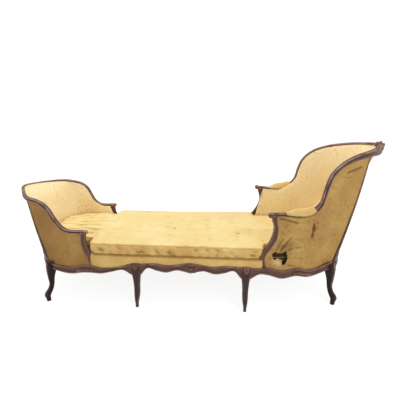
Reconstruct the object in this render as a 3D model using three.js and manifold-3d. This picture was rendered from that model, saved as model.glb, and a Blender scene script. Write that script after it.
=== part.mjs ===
// A gondola day bed with two unequal ends: carved wooden frame, stuffed seat, loose squab cushion.
// Millimetres, +Z up, +X towards the high head end, -Y towards the near side, floor at Z = 0.
import * as THREE from 'three';
import { mergeVertices } from 'three/addons/utils/BufferGeometryUtils.js';
import Module from 'manifold-3d';

const wasm = await Module();
wasm.setup();

// Clearances
const jointGap = 0.3;
const sliver = 0.03;
const padGap = 2.5;
const liftGap = 4;
const housing = 6;

// Seat frame
const middleLegSpacing = 644;
const headSideLength = 508;
const footSideLength = 533;
const headHalfWidth = 350;
const footHalfWidth = 338;
const headCornerInset = 98;
const footCornerInset = 28;
const headEndBow = 85;
const footEndBow = 115;

// Seat rails: a shaped show-wood front with a ledge, and a plain back part that rises behind it
const ledgeWidth = 27;
const railThickness = 41;
const plankTop = 297;
const apronTop = 277;
const apronHeight = 52;
const serpentineRise = 26;
const endRailTop = 308;
const endRailBottom = 214;
const moulding = 3;

// Legs
const kneeWidth = 66;
const cornerToeReach = 48;
const cornerTurn = 1.15;
const middleToeReach = 34;
const legInset = 21;
const stumpSetBack = 26;
const stumpWidth = 41;
const stumpDepth = 14;
const middleLegWidth = 58;

// Ends: the head end is the high one
const headArmHeight = 590;
const headCrestHeight = 938;
const headArmReach = 390;
const headCrestReach = 294;
const headArmHalfWidth = 320;
const footArmHeight = 446;
const footCrestHeight = 656;
const footArmReach = 233;
const footCrestReach = 258;
const footArmHalfWidth = 276;
const topRailWidth = 24;
const topRailDepth = 22;
const headCrestExtraDepth = 34;
const footCrestExtraDepth = 8;

// Arm posts and rear posts
const headPostInset = 405;
const footPostInset = 265;
const headPostSway = 34;
const footPostSway = 20;
const armPostWidth = 38;
const armPostThickness = 23;
const stileWidth = 18;
const stileTaper = 0.85;
const stileStep = 16.5;
const headStileBow = 12;
const footStileBow = 4;

// Carved flowers
const crestFlowerSize = 62;
const crestFlowerDepth = 26;
const crestFlowerStretch = 1.5;
const crestFlowerLean = 0.35;
const apronFlowerSize = 70;
const apronFlowerDepth = 16;

// Hidden frame
const bearerWidth = 46;
const bearerDepth = 32;
const webbingThickness = 2;
const webbingLap = 5;
const webbingStrap = 60;
const backBarFoot = 348;
const backBarDepth = 32;
const backBarThickness = 11;

// Upholstery
const seatTop = 327.7;
const borderThickness = 22;
const coverThickness = 3;
const coverInset = 6;
const backPadBack = 29;
const backPadBase = 34;
const backPadTop = 7;
const backPadCrown = 9;
const backHollow = 40;
const armPadWidth = 48;
const armPadHeight = 40;
const borderInset = 3;
const borderRound = 5;

// Squab cushion
const squabThickness = 62;
const squabCrown = 16;
const squabShoulder = 24;
const squabEndRound = 190;
const squabEndGap = 12;
const squabFrontInset = 6;

const ivory = new THREE.Color('#e3c87c');
const gold = new THREE.Color('#c39c55');
const walnut = new THREE.Color('#5a3a2c');
const jute = new THREE.Color('#a08d68');
const materialKinds = {
  wood: { color: walnut, roughness: 0.45, metalness: 0 },
  silk: { color: ivory, roughness: 0.6, metalness: 0 },
  shadedSilk: { color: gold, roughness: 0.65, metalness: 0 },
  webbing: { color: jute, roughness: 0.95, metalness: 0 },
};

const sofa = new THREE.Group();
const near = -1;
const far = 1;
const sides = [[near, 'near'], [far, 'far']];

const { lerp, clamp, smoothstep } = THREE.MathUtils;
const vec = (x, y, z) => new THREE.Vector3(x, y, z);

// Reads a table of shares: rows start with the place, the rest are the values there.
function tableAt(rows, place, column) {
  const last = rows.length - 1;
  if (place <= rows[0][0]) return rows[0][column];
  if (place >= rows[last][0]) return rows[last][column];
  const i = rows.findIndex((row) => row[0] > place) - 1;
  const span = rows[i + 1][0] - rows[i][0];
  const blend = smoothstep((place - rows[i][0]) / span, 0, 1);
  return lerp(rows[i][column], rows[i + 1][column], blend);
}

// Lofting: a closed body through rings of equal count. The flat section triangulates its two ends.
function signedVolume(positions, index) {
  const a = new THREE.Vector3();
  const b = new THREE.Vector3();
  const c = new THREE.Vector3();
  let total = 0;
  for (let i = 0; i < index.length; i += 3) {
    a.fromArray(positions, index[i] * 3);
    b.fromArray(positions, index[i + 1] * 3);
    c.fromArray(positions, index[i + 2] * 3);
    total += a.dot(b.cross(c));
  }
  return total;
}

// In a paired loft the second half of each ring runs back beside the first and takes its diagonals.
function loft(rings, section, paired = false) {
  const count = section.length;
  const positions = rings.flatMap((ring) => ring.flatMap((p) => [p.x, p.y, p.z]));
  const index = [];
  for (let r = 0; r < rings.length - 1; r += 1) {
    for (let i = 0; i < count; i += 1) {
      const j = (i + 1) % count;
      const a = r * count;
      const b = a + count;
      if (paired && i >= count / 2) {
        index.push(a + i, a + j, b + i, a + j, b + j, b + i);
      } else {
        index.push(a + i, a + j, b + j, a + i, b + j, b + i);
      }
    }
  }
  const outline = section.map(([u, v]) => new THREE.Vector2(u, v));
  const turned = THREE.ShapeUtils.isClockWise(outline);
  const caps = paired ? [] : THREE.ShapeUtils.triangulateShape(outline, []);
  for (let i = 0; paired && i < count / 2 - 1; i += 1) {
    const across = count - 1 - i;
    caps.push([i, i + 1, across - 1], [i, across - 1, across]);
  }
  const end = (rings.length - 1) * count;
  for (const [a, b, c] of caps) {
    if (turned) {
      index.push(a, b, c, end + c, end + b, end + a);
    } else {
      index.push(c, b, a, end + a, end + b, end + c);
    }
  }
  if (signedVolume(positions, index) < 0) index.reverse();
  const geometry = new THREE.BufferGeometry();
  geometry.setAttribute('position', new THREE.Float32BufferAttribute(positions, 3));
  geometry.setIndex(index);
  return geometry;
}

function plainBlock(geometry) {
  geometry.deleteAttribute('normal');
  geometry.deleteAttribute('uv');
  return mergeVertices(geometry);
}

function toManifold(geometry) {
  const merged = mergeVertices(geometry);
  const vertProperties = new Float32Array(merged.attributes.position.array);
  const triVerts = new Uint32Array(merged.index.array);
  return new wasm.Manifold(new wasm.Mesh({ numProp: 3, vertProperties, triVerts }));
}

function toGeometry(manifold) {
  const mesh = manifold.getMesh();
  const geometry = new THREE.BufferGeometry();
  geometry.setAttribute('position', new THREE.BufferAttribute(mesh.vertProperties, 3));
  geometry.setIndex(new THREE.BufferAttribute(mesh.triVerts, 1));
  return geometry;
}

// Houses a piece in its neighbours: what lies beyond them is an offcut, so the largest body is kept.
// Edges shorter than the sliver length are closed up.
function cut(geometry, cutters) {
  const body = cutters.reduce((rest, cutter) => rest.subtract(toManifold(cutter)), toManifold(geometry));
  const largest = body.decompose().reduce((kept, part) => (part.volume() > kept.volume() ? part : kept));
  return largest.simplify(sliver);
}

function addPiece(name, shape, kind) {
  const geometry = shape.isBufferGeometry ? shape : toGeometry(shape);
  const material = new THREE.MeshStandardMaterial(materialKinds[kind]);
  const mesh = new THREE.Mesh(geometry, material);
  mesh.name = name;
  sofa.add(mesh);
}

// Plan of the seat rails' outer faces
const middleLegX = middleLegSpacing / 2;
const headLegX = middleLegX + headSideLength;
const footLegX = -middleLegX - footSideLength;

function halfWidthAt(x) {
  const taper = lerp(footHalfWidth, headHalfWidth, clamp((x + middleLegX) / middleLegSpacing, 0, 1));
  const headShare = Math.max(0, x - middleLegX) / headSideLength;
  const footShare = Math.max(0, -x - middleLegX) / footSideLength;
  return taper - headCornerInset * headShare ** 2 - footCornerInset * footShare ** 2;
}

const headEnd = {
  name: 'head',
  sign: 1,
  legX: headLegX,
  bow: headEndBow,
  armHeight: headArmHeight,
  crestHeight: headCrestHeight,
  armX: headLegX - headArmReach,
  crestX: headLegX + headCrestReach,
  armHalfWidth: headArmHalfWidth,
  postX: headLegX - headPostInset,
  sway: headPostSway,
  stileBow: headStileBow,
  crestExtraDepth: headCrestExtraDepth,
};
const footEnd = {
  name: 'foot',
  sign: -1,
  legX: footLegX,
  bow: footEndBow,
  armHeight: footArmHeight,
  crestHeight: footCrestHeight,
  armX: footLegX + footArmReach,
  crestX: footLegX - footCrestReach,
  armHalfWidth: footArmHalfWidth,
  postX: footLegX + footPostInset,
  sway: footPostSway,
  stileBow: footStileBow,
  crestExtraDepth: footCrestExtraDepth,
};
const ends = [headEnd, footEnd];
for (const end of ends) end.legY = halfWidthAt(end.legX) - legInset;

const endArch = (end, y) => 1 - (y / end.legY) ** 2;
const endFaceX = (end, y) => end.legX + end.sign * (legInset + end.bow * endArch(end, y));

// Serpentine apron: place along the rail, rise of its top edge and of its bottom edge
const centreApronShares = [
  [0, 0.04, -1.1], [0.08, 0.04, -0.8], [0.2, 0.14, 0.92], [0.38, 0.24, 0.46], [0.56, -0.12, 0.06],
  [0.76, 0.12, 0.72], [0.9, 0.5, 0.38], [1, 0.6, 0.04],
];
const headApronShares = [
  [0, 0.04, -1.1], [0.05, 0.02, -0.8], [0.14, -0.1, 0.34], [0.24, 0.06, 0.2], [0.4, -0.82, -0.8],
  [0.58, -0.44, -0.42],
  [0.71, -1.12, -0.92], [0.86, -0.66, -0.38], [1, 0.1, 0.4],
];
const footApronShares = [
  [0, 0.04, -1.1], [0.05, 0.0, -0.8], [0.14, -0.6, 0.34], [0.26, -1.15, -0.1], [0.38, -1.3, -0.76],
  [0.53, -0.8, -0.74],
  [0.62, -0.86, -0.86], [0.75, -1.46, -1.28], [0.88, -0.84, -0.9], [1, 0.1, 0.1],
];

function apronEdges(x) {
  const side = x > 0 ? 1 : -1;
  const past = side * x - middleLegX;
  let rows = centreApronShares;
  let place = (middleLegX - side * x) / middleLegX;
  if (past > 0) {
    rows = side > 0 ? headApronShares : footApronShares;
    place = past / (side > 0 ? headSideLength : footSideLength);
  }
  return {
    top: apronTop + serpentineRise * tableAt(rows, place, 1),
    bottom: apronTop - apronHeight + serpentineRise * tableAt(rows, place, 2),
  };
}

// Seat rail section, outward then up. The ledge carries posts and covers; the back part rises behind it.
function railSection(top, bottom, plank, grow) {
  const face = grow;
  const back = -railThickness - grow;
  const ledge = -ledgeWidth + (top > plank ? -grow : grow);
  return [
    [face - moulding, bottom - grow],
    [face, bottom + moulding],
    [face - moulding / 2, top - 4 * moulding],
    [face + moulding, top - 3 * moulding],
    [face + moulding, top + grow],
    [ledge, top + grow],
    [ledge, plank + grow],
    [back, plank + grow],
    [back, bottom - grow],
  ];
}

function sideRailRing(side, x, grow) {
  const step = moulding;
  const half = halfWidthAt(x);
  const slope = (halfWidthAt(x + step) - halfWidthAt(x - step)) / (2 * step);
  const outward = vec(-slope, side, 0).normalize();
  const edges = apronEdges(x);
  return railSection(edges.top, edges.bottom, plankTop, grow).map(([o, z]) => {
    const point = vec(x, side * half, z);
    return point.addScaledVector(outward, o);
  });
}

function sideRail(side, from, to, steps, grow = 0) {
  const rings = [];
  for (let i = 0; i <= steps; i += 1) rings.push(sideRailRing(side, lerp(from, to, i / steps), grow));
  return loft(rings, railSection(apronTop, apronTop - apronHeight, plankTop, grow));
}

function endRail(end, grow = 0) {
  const steps = 12;
  const rings = [];
  for (let i = 0; i <= steps; i += 1) {
    const y = lerp(-end.legY, end.legY, i / steps);
    const slope = 2 * end.bow * y / end.legY ** 2;
    const outward = vec(end.sign, slope, 0).normalize();
    const top = lerp(apronTop, endRailTop, endArch(end, y));
    rings.push(railSection(top, endRailBottom, plankTop, grow).map(([o, z]) => (
      vec(endFaceX(end, y), y, z).addScaledVector(outward, o)
    )));
  }
  return loft(rings, railSection(endRailTop, endRailBottom, plankTop, grow));
}

// Cabriole legs. Rows: height, place towards the toe, width. The section is a square with soft corners.
const cornerLegShares = [
  [0, 0.92, 0.36], [0.083, 0.96, 0.42], [0.14, 1, 0.5], [0.2, 0.85, 0.54], [0.28, 0.55, 0.46],
  [0.38, 0.34, 0.42], [0.57, 0.27, 0.57], [0.74, 0.16, 0.8], [0.85, 0.03, 0.96], [0.94, 0, 0.92],
  [1, 0, 0.9],
];
const middleLegShares = [
  [0, 1, 0.3], [0.083, 0.97, 0.32], [0.155, 0.86, 0.42], [0.2, 0.7, 0.5], [0.27, 0.5, 0.57],
  [0.39, 0.3, 0.59], [0.51, 0.25, 0.64], [0.63, 0.2, 0.73], [0.75, 0.13, 0.9], [0.85, 0.03, 1],
  [1, 0, 0.96],
];
const softSquareShares = [
  [0.5, -0.24], [0.5, 0.24], [0.24, 0.5], [-0.24, 0.5], [-0.5, 0.24], [-0.5, -0.24], [-0.24, -0.5],
  [0.24, -0.5],
];

function legBody(foot, outward, rows) {
  const across = vec(-outward.y, outward.x, 0);
  const rings = rows.map(({ height, reach, width }) => softSquareShares.map(([o, a]) => (
    vec(foot.x, foot.y, height)
      .addScaledVector(outward, reach + width * o)
      .addScaledVector(across, width * a)
  )));
  return loft(rings, softSquareShares);
}

function legRows(legShares, height, reach, width, grow) {
  return legShares.map(([heightShare, reachShare, widthShare]) => ({
    height: height * heightShare,
    reach: reach * reachShare,
    width: width * widthShare + 2 * grow,
  }));
}

function cornerOutward(end, side) {
  return vec(end.sign * cornerTurn, side, 0).normalize();
}

function cornerLegCentre(end, side) {
  return vec(end.legX, side * end.legY, 0);
}

function cornerLeg(end, side, grow = 0) {
  const rows = legRows(cornerLegShares, apronTop, cornerToeReach, kneeWidth, grow);
  rows[rows.length - 1].height += grow;
  const stump = { reach: -stumpSetBack, width: stumpWidth + 2 * grow };
  const stumpRows = [
    { ...stump, height: apronTop - stumpDepth - grow },
    { ...stump, height: plankTop + moulding / 2 + grow },
  ];
  const centre = cornerLegCentre(end, side);
  const outward = cornerOutward(end, side);
  const knee = toManifold(legBody(centre, outward, rows));
  return toGeometry(knee.add(toManifold(legBody(centre, outward, stumpRows))));
}

function middleLeg(end, side, grow = 0) {
  const x = end.sign * middleLegX;
  const foot = vec(x, side * (halfWidthAt(x) - legInset), 0);
  const height = apronEdges(x).top + moulding;
  const rows = legRows(middleLegShares, height, middleToeReach, middleLegWidth, grow);
  rows[rows.length - 1].height += grow;
  return legBody(foot, vec(0, side, 0), rows);
}

// Top rails. Rows for half an end, from the arm tip to the middle of the crest:
// way from arm to crest, half width, height from arm to crest, and turn from facing the side to the end.
const headRailShares = [
  [0, 1, 0, 0], [0.115, 0.935, -0.015, 0], [0.212, 0.955, -0.018, 0], [0.31, 0.965, 0, 0],
  [0.383, 0.96, 0.105, 0], [0.415, 0.955, 0.27, 0.02], [0.433, 0.945, 0.44, 0.05],
  [0.472, 0.905, 0.632, 0.1], [0.553, 0.845, 0.785, 0.2], [0.665, 0.735, 0.885, 0.3],
  [0.8, 0.585, 0.945, 0.36], [0.915, 0.34, 0.982, 0.62], [1, 0, 1, 1],
];
const footRailShares = [
  [0, 1, 0, 0], [0.13, 0.975, -0.012, 0], [0.235, 0.985, 0.015, 0], [0.3, 0.99, 0.12, 0],
  [0.34, 1, 0.26, 0.02], [0.378, 1.015, 0.44, 0.04], [0.42, 1.005, 0.63, 0.08],
  [0.485, 0.97, 0.775, 0.14], [0.585, 0.915, 0.865, 0.22], [0.7, 0.855, 0.915, 0.3],
  [0.87, 0.48, 0.975, 0.6], [1, 0, 1, 1],
];
headEnd.railShares = headRailShares;
footEnd.railShares = footRailShares;
headEnd.stileKey = 10;
footEnd.stileKey = 9;
headEnd.armKey = 3;
footEnd.armKey = 2.6;

for (const end of ends) {
  const half = end.railShares.map(([along, across, up, turn]) => ({
    point: vec(
      lerp(end.armX, end.crestX, along),
      -end.armHalfWidth * across,
      lerp(end.armHeight, end.crestHeight, up),
    ),
    turn,
  }));
  const mirrored = half.slice(0, -1).reverse().map(({ point, turn }) => ({
    point: vec(point.x, -point.y, point.z),
    turn: 2 - turn,
  }));
  end.keys = [...half, ...mirrored];
  end.keyCount = end.keys.length - 1;
  end.path = new THREE.CatmullRomCurve3(end.keys.map((key) => key.point), false, 'centripetal');
}

function railFrame(end, key) {
  const share = key / end.keyCount;
  const point = end.path.getPoint(share);
  const tangent = end.path.getTangent(share);
  const low = Math.min(Math.floor(key), end.keyCount - 1);
  const turn = lerp(end.keys[low].turn, end.keys[low + 1].turn, key - low);
  const angle = turn * Math.PI / 2;
  const outward = vec(end.sign * Math.sin(angle), -Math.cos(angle), 0);
  outward.addScaledVector(tangent, -outward.dot(tangent)).normalize();
  const up = new THREE.Vector3().crossVectors(outward, tangent).multiplyScalar(end.sign);
  return { point, tangent, outward, up, turn };
}

// Moulded rail section: outward and up, as shares of its width and depth
const topRailSectionShares = [
  [-0.5, -0.36], [-0.3, -0.5], [0.34, -0.5], [0.5, -0.26], [0.36, 0.04], [0.5, 0.2], [0.3, 0.5],
  [-0.36, 0.5], [-0.5, 0.24],
];
const armNoseShares = [[0, 0.62], [0.35, 0.98], [1, 1]];
const crestFullShare = 0.8;

function topRailRing(end, key, grow, shift) {
  const frame = railFrame(end, key);
  const fromTip = Math.min(key, end.keyCount - key);
  const nose = tableAt(armNoseShares, fromTip, 1);
  const extra = end.crestExtraDepth * smoothstep(1 - Math.abs(frame.turn - 1), 0, crestFullShare);
  const width = topRailWidth * nose + 2 * grow;
  const depth = topRailDepth * nose + extra + 2 * grow;
  return topRailSectionShares.map(([o, n]) => (
    frame.point.clone()
      .addScaledVector(frame.outward, width * o)
      .addScaledVector(frame.up, depth * n - extra / 2)
      .addScaledVector(frame.tangent, shift)
  ));
}

function topRail(end, fromKey, toKey, steps, grow = 0) {
  const rings = [];
  for (let i = 0; i <= steps; i += 1) {
    let shift = 0;
    if (i === 0) shift = jointGap / 2 - grow;
    if (i === steps) shift = grow - jointGap / 2;
    rings.push(topRailRing(end, lerp(fromKey, toKey, i / steps), grow, shift));
  }
  return loft(rings, topRailSectionShares);
}

// Arm posts. Rows: height, sway towards the end, width.
const headPostShares = [
  [0, -0.1, 0.74], [0.1, -0.45, 0.82], [0.19, -0.7, 0.92], [0.3, -0.4, 0.96], [0.4, 0.12, 0.96],
  [0.5, 0.58, 0.94], [0.62, 0.8, 0.8], [0.76, 0.74, 0.68], [0.88, 0.35, 0.76], [1, 0, 0.9],
];
const footPostShares = [
  [0, 0, 0.6], [0.16, 0, 0.66], [0.28, 0.1, 0.94], [0.42, 0.5, 1], [0.56, 0.9, 0.7], [0.68, 1, 0.56],
  [0.84, 0.5, 0.76], [1, 0, 0.86],
];
headEnd.postShares = headPostShares;
footEnd.postShares = footPostShares;
const postTopKey = 0.3;
const padStart = 0.02;
const borderEndShares = { foot: 0, head: -0.42 };

function postLine(end, side) {
  const foot = vec(end.postX, side * (halfWidthAt(end.postX) - ledgeWidth / 2), apronEdges(end.postX).top);
  const top = railFrame(end, postTopKey).point.clone();
  top.y *= -side;
  return { foot, top };
}

function armPost(end, side, grow = 0) {
  const { foot, top } = postLine(end, side);
  foot.z -= housing / 2;
  const rings = end.postShares.map(([up, sway, widthShare]) => {
    const centre = foot.clone().lerp(top, up);
    centre.x += end.sign * end.sway * sway;
    const halfWidth = armPostWidth * widthShare / 2 + grow;
    const halfThick = armPostThickness / 2 + grow;
    return softSquareShares.map(([a, o]) => (
      centre.clone().add(vec(2 * halfWidth * a, 2 * halfThick * o * side, 0))
    ));
  });
  return loft(rings, softSquareShares);
}

// Rear posts, from the corner leg to inside the top rail
function stileLine(end, side) {
  const foot = cornerLegCentre(end, side).addScaledVector(cornerOutward(end, side), stileStep);
  foot.z = apronTop - housing;
  const top = railFrame(end, end.stileKey).point.clone();
  top.y *= -side;
  return { foot, top };
}

const stileBowShares = [[0, 0], [0.25, 0.68], [0.55, 1], [0.8, 0.66], [1, 0]];

function stile(end, side, grow = 0) {
  const { foot, top } = stileLine(end, side);
  const outward = cornerOutward(end, side);
  const across = vec(-outward.y, outward.x, 0);
  const rings = stileBowShares.map(([up, bow]) => {
    const centre = foot.clone().lerp(top, up);
    centre.x += end.sign * end.stileBow * bow;
    const size = stileWidth * lerp(1, stileTaper, up) + 2 * grow;
    return softSquareShares.map(([o, a]) => (
      centre.clone().addScaledVector(outward, size * o).addScaledVector(across, size * a)
    ));
  });
  return loft(rings, softSquareShares);
}

const tuckShare = 0.72;
const hollowShares = [[0, 0], [0.67, 1], [0.8, 1], [1, 0]];
const swayEndShare = 0.6;
const bowStartShare = 0.4;

// Shell of an end: a surface from the rail ledge to the top rail, from near post to far post.
// Place 0 is the near arm post, 1 the near rear post, 2 the middle, 3 the far rear post, 4 the far arm post.
const lastPlace = 4;
const middlePlace = lastPlace / 2;
const farPostPlace = lastPlace - 1;

function shellBase(end, place) {
  const corner = stileLine(end, near).foot;
  corner.addScaledVector(cornerOutward(end, near), stileWidth / 2);
  if (place <= 1) {
    const x = lerp(end.postX, corner.x, place);
    const tuck = smoothstep(place, tuckShare, 1);
    return vec(x, lerp(-halfWidthAt(x), corner.y, tuck), apronEdges(x).top);
  }
  const y = lerp(corner.y, 0, place - 1);
  const tuck = 1 - smoothstep(place - 1, 0, 1 - tuckShare);
  const face = endFaceX(end, clamp(y, -end.legY, end.legY));
  return vec(lerp(face, corner.x, tuck), y, lerp(apronTop, endRailTop, endArch(end, y)));
}

function shellPoint(end, place, height) {
  const mirrored = place > middlePlace;
  const half = mirrored ? lastPlace - place : place;
  const key = half <= 1
    ? lerp(postTopKey, end.stileKey, half)
    : lerp(end.stileKey, end.keyCount / 2, half - 1);
  const base = shellBase(end, half);
  const frame = railFrame(end, key);
  const share = (height - base.z) / (frame.point.z - base.z);
  const point = base.clone().lerp(frame.point, share);
  point.z = height;
  const swayShare = tableAt(end.postShares, share, 1) * (1 - clamp(half / swayEndShare, 0, 1)) ** 2;
  const bowShare = tableAt(stileBowShares, share, 1) * smoothstep(half, bowStartShare, 1);
  point.x += end.sign * (end.sway * swayShare + end.stileBow * bowShare);
  const hollow = Math.sin(Math.PI / 2 * Math.max(0, half - 1));
  point.x -= end.sign * backHollow * hollow * tableAt(hollowShares, share, 1);
  const baseOutward = half <= 1
    ? vec(end.sign * half ** 3, -1, 0).normalize()
    : vec(end.sign, -Math.max(0, middlePlace - half), 0).normalize();
  const outward = baseOutward.lerp(frame.outward, clamp(share, 0, 1));
  outward.z = 0;
  outward.normalize();
  if (mirrored) {
    point.y *= -1;
    outward.y *= -1;
  }
  return { point, outward, share, railHeight: frame.point.z, baseHeight: base.z };
}

// A skin or pad on the shell between two places. Each level gives its height and its two offsets inward.
function shellBody(end, fromPlace, toPlace, steps, levelCount, levelAt) {
  const rings = [];
  const section = [];
  for (let i = 0; i <= steps; i += 1) {
    const place = lerp(fromPlace, toPlace, i / steps);
    const outer = [];
    const inner = [];
    for (let j = 0; j <= levelCount; j += 1) {
      const level = levelAt(place, j / levelCount);
      const at = shellPoint(end, place, level.height);
      outer.push(at.point.clone().addScaledVector(at.outward, -level.outer));
      inner.push(at.point.clone().addScaledVector(at.outward, -level.inner));
    }
    rings.push([...outer, ...inner.reverse()]);
  }
  for (let j = 0; j <= levelCount; j += 1) section.push([0, -j]);
  for (let j = levelCount; j >= 0; j -= 1) section.push([1, -j]);
  return loft(rings, section, true);
}

// Carved flower: lobed rings that close on a raised heart
const petalDipShare = 0.16;

function flower(size, depth, petals) {
  const ringShares = [[1, -0.3], [1, 0.25], [0.66, 0.85], [0.2, 0.55]];
  const points = petals * 3;
  const section = [];
  for (let i = 0; i < points; i += 1) {
    const angle = i / points * 2 * Math.PI;
    section.push([Math.cos(angle), Math.sin(angle)]);
  }
  const rings = ringShares.map(([radiusShare, heightShare]) => section.map(([c, s], i) => {
    const lobe = 1 - petalDipShare * (1 - Math.cos(i / points * petals * 2 * Math.PI)) / 2;
    const radius = size / 2 * radiusShare * lobe;
    return vec(radius * c, radius * s, depth * heightShare);
  }));
  return loft(rings, section);
}

function placed(geometry, origin, axis) {
  const turn = new THREE.Quaternion().setFromUnitVectors(vec(0, 0, 1), axis);
  return geometry.applyQuaternion(turn).translate(origin.x, origin.y, origin.z);
}

function crestFlower(grow) {
  const frame = railFrame(headEnd, headEnd.keyCount / 2);
  const carving = flower(crestFlowerSize + 2 * grow, crestFlowerDepth + 4 * grow, 5);
  carving.scale(1, crestFlowerStretch, 1);
  return placed(carving, frame.point, vec(crestFlowerLean, 0, 1).normalize());
}

// Show wood and hidden frame
const railRuns = [
  { name: 'foot', from: footLegX, to: -middleLegX - jointGap / 2, steps: 13 },
  { name: 'centre', from: -middleLegX + jointGap / 2, to: middleLegX - jointGap / 2, steps: 18 },
  { name: 'head', from: middleLegX + jointGap / 2, to: headLegX, steps: 12 },
];
const topRailSteps = { arm: 8, wing: 13, crest: 12 };

function topRailRuns(end, grow) {
  const { arm, wing, crest } = topRailSteps;
  const last = end.keyCount;
  return [
    { name: 'near_arm_rail', shape: topRail(end, 0, end.armKey, arm, grow) },
    { name: 'near_wing_rail', shape: topRail(end, end.armKey, end.stileKey, wing, grow) },
    { name: 'crest_rail', shape: topRail(end, end.stileKey, last - end.stileKey, crest, grow) },
    { name: 'far_wing_rail', shape: topRail(end, last - end.stileKey, last - end.armKey, wing, grow) },
    { name: 'far_arm_rail', shape: topRail(end, last - end.armKey, last, arm, grow) },
  ];
}

const g = jointGap;
const cutters = { side: {}, legs: [], posts: [], stiles: [], endRails: [], topRails: {} };
for (const [side, sideName] of sides) {
  cutters.side[sideName] = railRuns.map((run) => sideRail(side, run.from, run.to, run.steps, g));
}
for (const end of ends) {
  cutters.topRails[end.name] = topRailRuns(end, g).map((run) => run.shape);
  cutters.endRails.push(endRail(end, g));
  for (const [side] of sides) {
    cutters.legs.push(cornerLeg(end, side, g), middleLeg(end, side, g));
    cutters.posts.push(armPost(end, side, g));
    cutters.stiles.push(stile(end, side, g));
  }
}
cutters.topRails.head.push(crestFlower(g));

for (const [side, sideName] of sides) {
  for (const run of railRuns) {
    let shape = cut(sideRail(side, run.from, run.to, run.steps), cutters.legs);
    if (run.name === 'centre') {
      const edges = apronEdges(0);
      const origin = vec(0, side * halfWidthAt(0), (edges.top + edges.bottom) / 2);
      const carving = flower(apronFlowerSize, apronFlowerDepth, 5);
      shape = shape.add(toManifold(placed(carving, origin, vec(0, side, 0))));
    }
    addPiece(`${run.name}_${sideName}_side_rail`, shape, 'wood');
  }
}

for (const end of ends) {
  addPiece(`${end.name}_end_rail`, cut(endRail(end), cutters.legs), 'wood');
  for (const run of topRailRuns(end, 0)) {
    let shape = run.shape;
    if (end === headEnd && run.name === 'crest_rail') {
      shape = toManifold(shape).add(toManifold(crestFlower(0)));
    }
    addPiece(`${end.name}_${run.name}`, shape, 'wood');
  }
  for (const [side, sideName] of sides) {
    const name = `${end.name}_${sideName}`;
    addPiece(`${name}_corner_leg`, cornerLeg(end, side), 'wood');
    addPiece(`${name}_middle_leg`, middleLeg(end, side), 'wood');
    const carried = [...cutters.side[sideName], ...cutters.topRails[end.name]];
    addPiece(`${name}_arm_post`, cut(armPost(end, side), carried), 'wood');
    const held = [...cutters.legs, ...cutters.endRails, ...carried];
    addPiece(`${name}_rear_post`, cut(stile(end, side), held), 'wood');
  }
  const backBar = shellBody(end, 1, farPostPlace, 8, 1, (place, v) => ({
    height: backBarFoot + v * backBarDepth,
    outer: coverInset + coverThickness + padGap,
    inner: coverInset + coverThickness + padGap + backBarThickness,
  }));
  addPiece(`${end.name}_lower_back_rail`, cut(backBar, cutters.stiles), 'wood');
}

// Arm pads on the head arms: half an ellipse that wraps the rail's upper half, drawn in at both ends
const armPadKeys = [1.2, 3.75];
const armPadSwellShares = [
  [0, 0.45], [0.08, 0.7], [0.22, 0.94], [0.4, 1], [0.65, 1], [0.82, 0.9], [0.94, 0.7], [1, 0.5],
];
const armPadWidenShare = 0.6;

function armPad(end, side, grow = 0) {
  const arcSteps = 7;
  const section = [];
  for (let i = 0; i <= arcSteps; i += 1) {
    const angle = i / arcSteps * Math.PI;
    section.push([Math.cos(angle), Math.sin(angle)]);
  }
  const rings = armPadSwellShares.map(([along, swell]) => {
    const key = lerp(armPadKeys[0], armPadKeys[1], along);
    const frame = railFrame(end, side === near ? key : end.keyCount - key);
    const halfWidth = armPadWidth / 2 * lerp(1, swell, armPadWidenShare) + grow;
    return section.map(([o, n]) => (
      frame.point.clone()
        .addScaledVector(frame.outward, halfWidth * o)
        .addScaledVector(frame.up, (armPadHeight * swell + 2 * grow) * n - grow)
    ));
  });
  return loft(rings, section);
}

cutters.armPads = { head: [armPad(headEnd, near, g), armPad(headEnd, far, g)], foot: [] };

for (const [side, sideName] of sides) {
  const pad = cut(armPad(headEnd, side), cutters.topRails.head);
  addPiece(`head_${sideName}_arm_pad`, pad, 'silk');
}

// Upholstery of the two ends
for (const end of ends) {
  const coverAt = (place, v) => {
    const { baseHeight, railHeight } = shellPoint(end, place, seatTop);
    const outer = lerp(coverInset, coverInset - topRailWidth / 2, v);
    return { height: lerp(baseHeight - moulding / 2, railHeight, v), outer, inner: outer + coverThickness };
  };
  const above = [...cutters.topRails[end.name], ...cutters.armPads[end.name]];
  const around = [...cutters.stiles, ...cutters.posts, ...cutters.legs, ...above];
  const covers = [
    { name: 'near', from: 0, to: 1, levels: 3, below: cutters.side.near },
    { name: 'far', from: farPostPlace, to: lastPlace, levels: 3, below: cutters.side.far },
    { name: 'back', from: 1, to: farPostPlace, levels: 7, below: cutters.endRails },
  ];
  for (const { name, from, to, levels, below } of covers) {
    const cover = cut(shellBody(end, from, to, 8, levels, coverAt), [...around, ...below]);
    addPiece(`${end.name}_${name}_outside_cover`, cover, 'shadedSilk');
  }
}

// Padded inside of each end, one piece from arm post to arm post, standing on the seat
const padTopOffset = topRailWidth / 2 + padGap;
for (const end of ends) {
  const padAt = (place, v) => {
    const { railHeight } = shellPoint(end, place, seatTop);
    const outer = lerp(backPadBack, padTopOffset, v);
    const crown = backPadCrown * Math.sin(Math.PI * v);
    return {
      height: lerp(seatTop + jointGap, railHeight, v),
      outer,
      inner: outer + lerp(backPadBase, backPadTop, v) + crown,
    };
  };
  const pad = shellBody(end, padStart, lastPlace - padStart, 24, 5, padAt);
  const beside = [...cutters.posts, ...cutters.topRails[end.name], ...cutters.armPads[end.name]];
  addPiece(`${end.name}_inside_back`, cut(pad, beside), 'silk');
}

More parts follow.
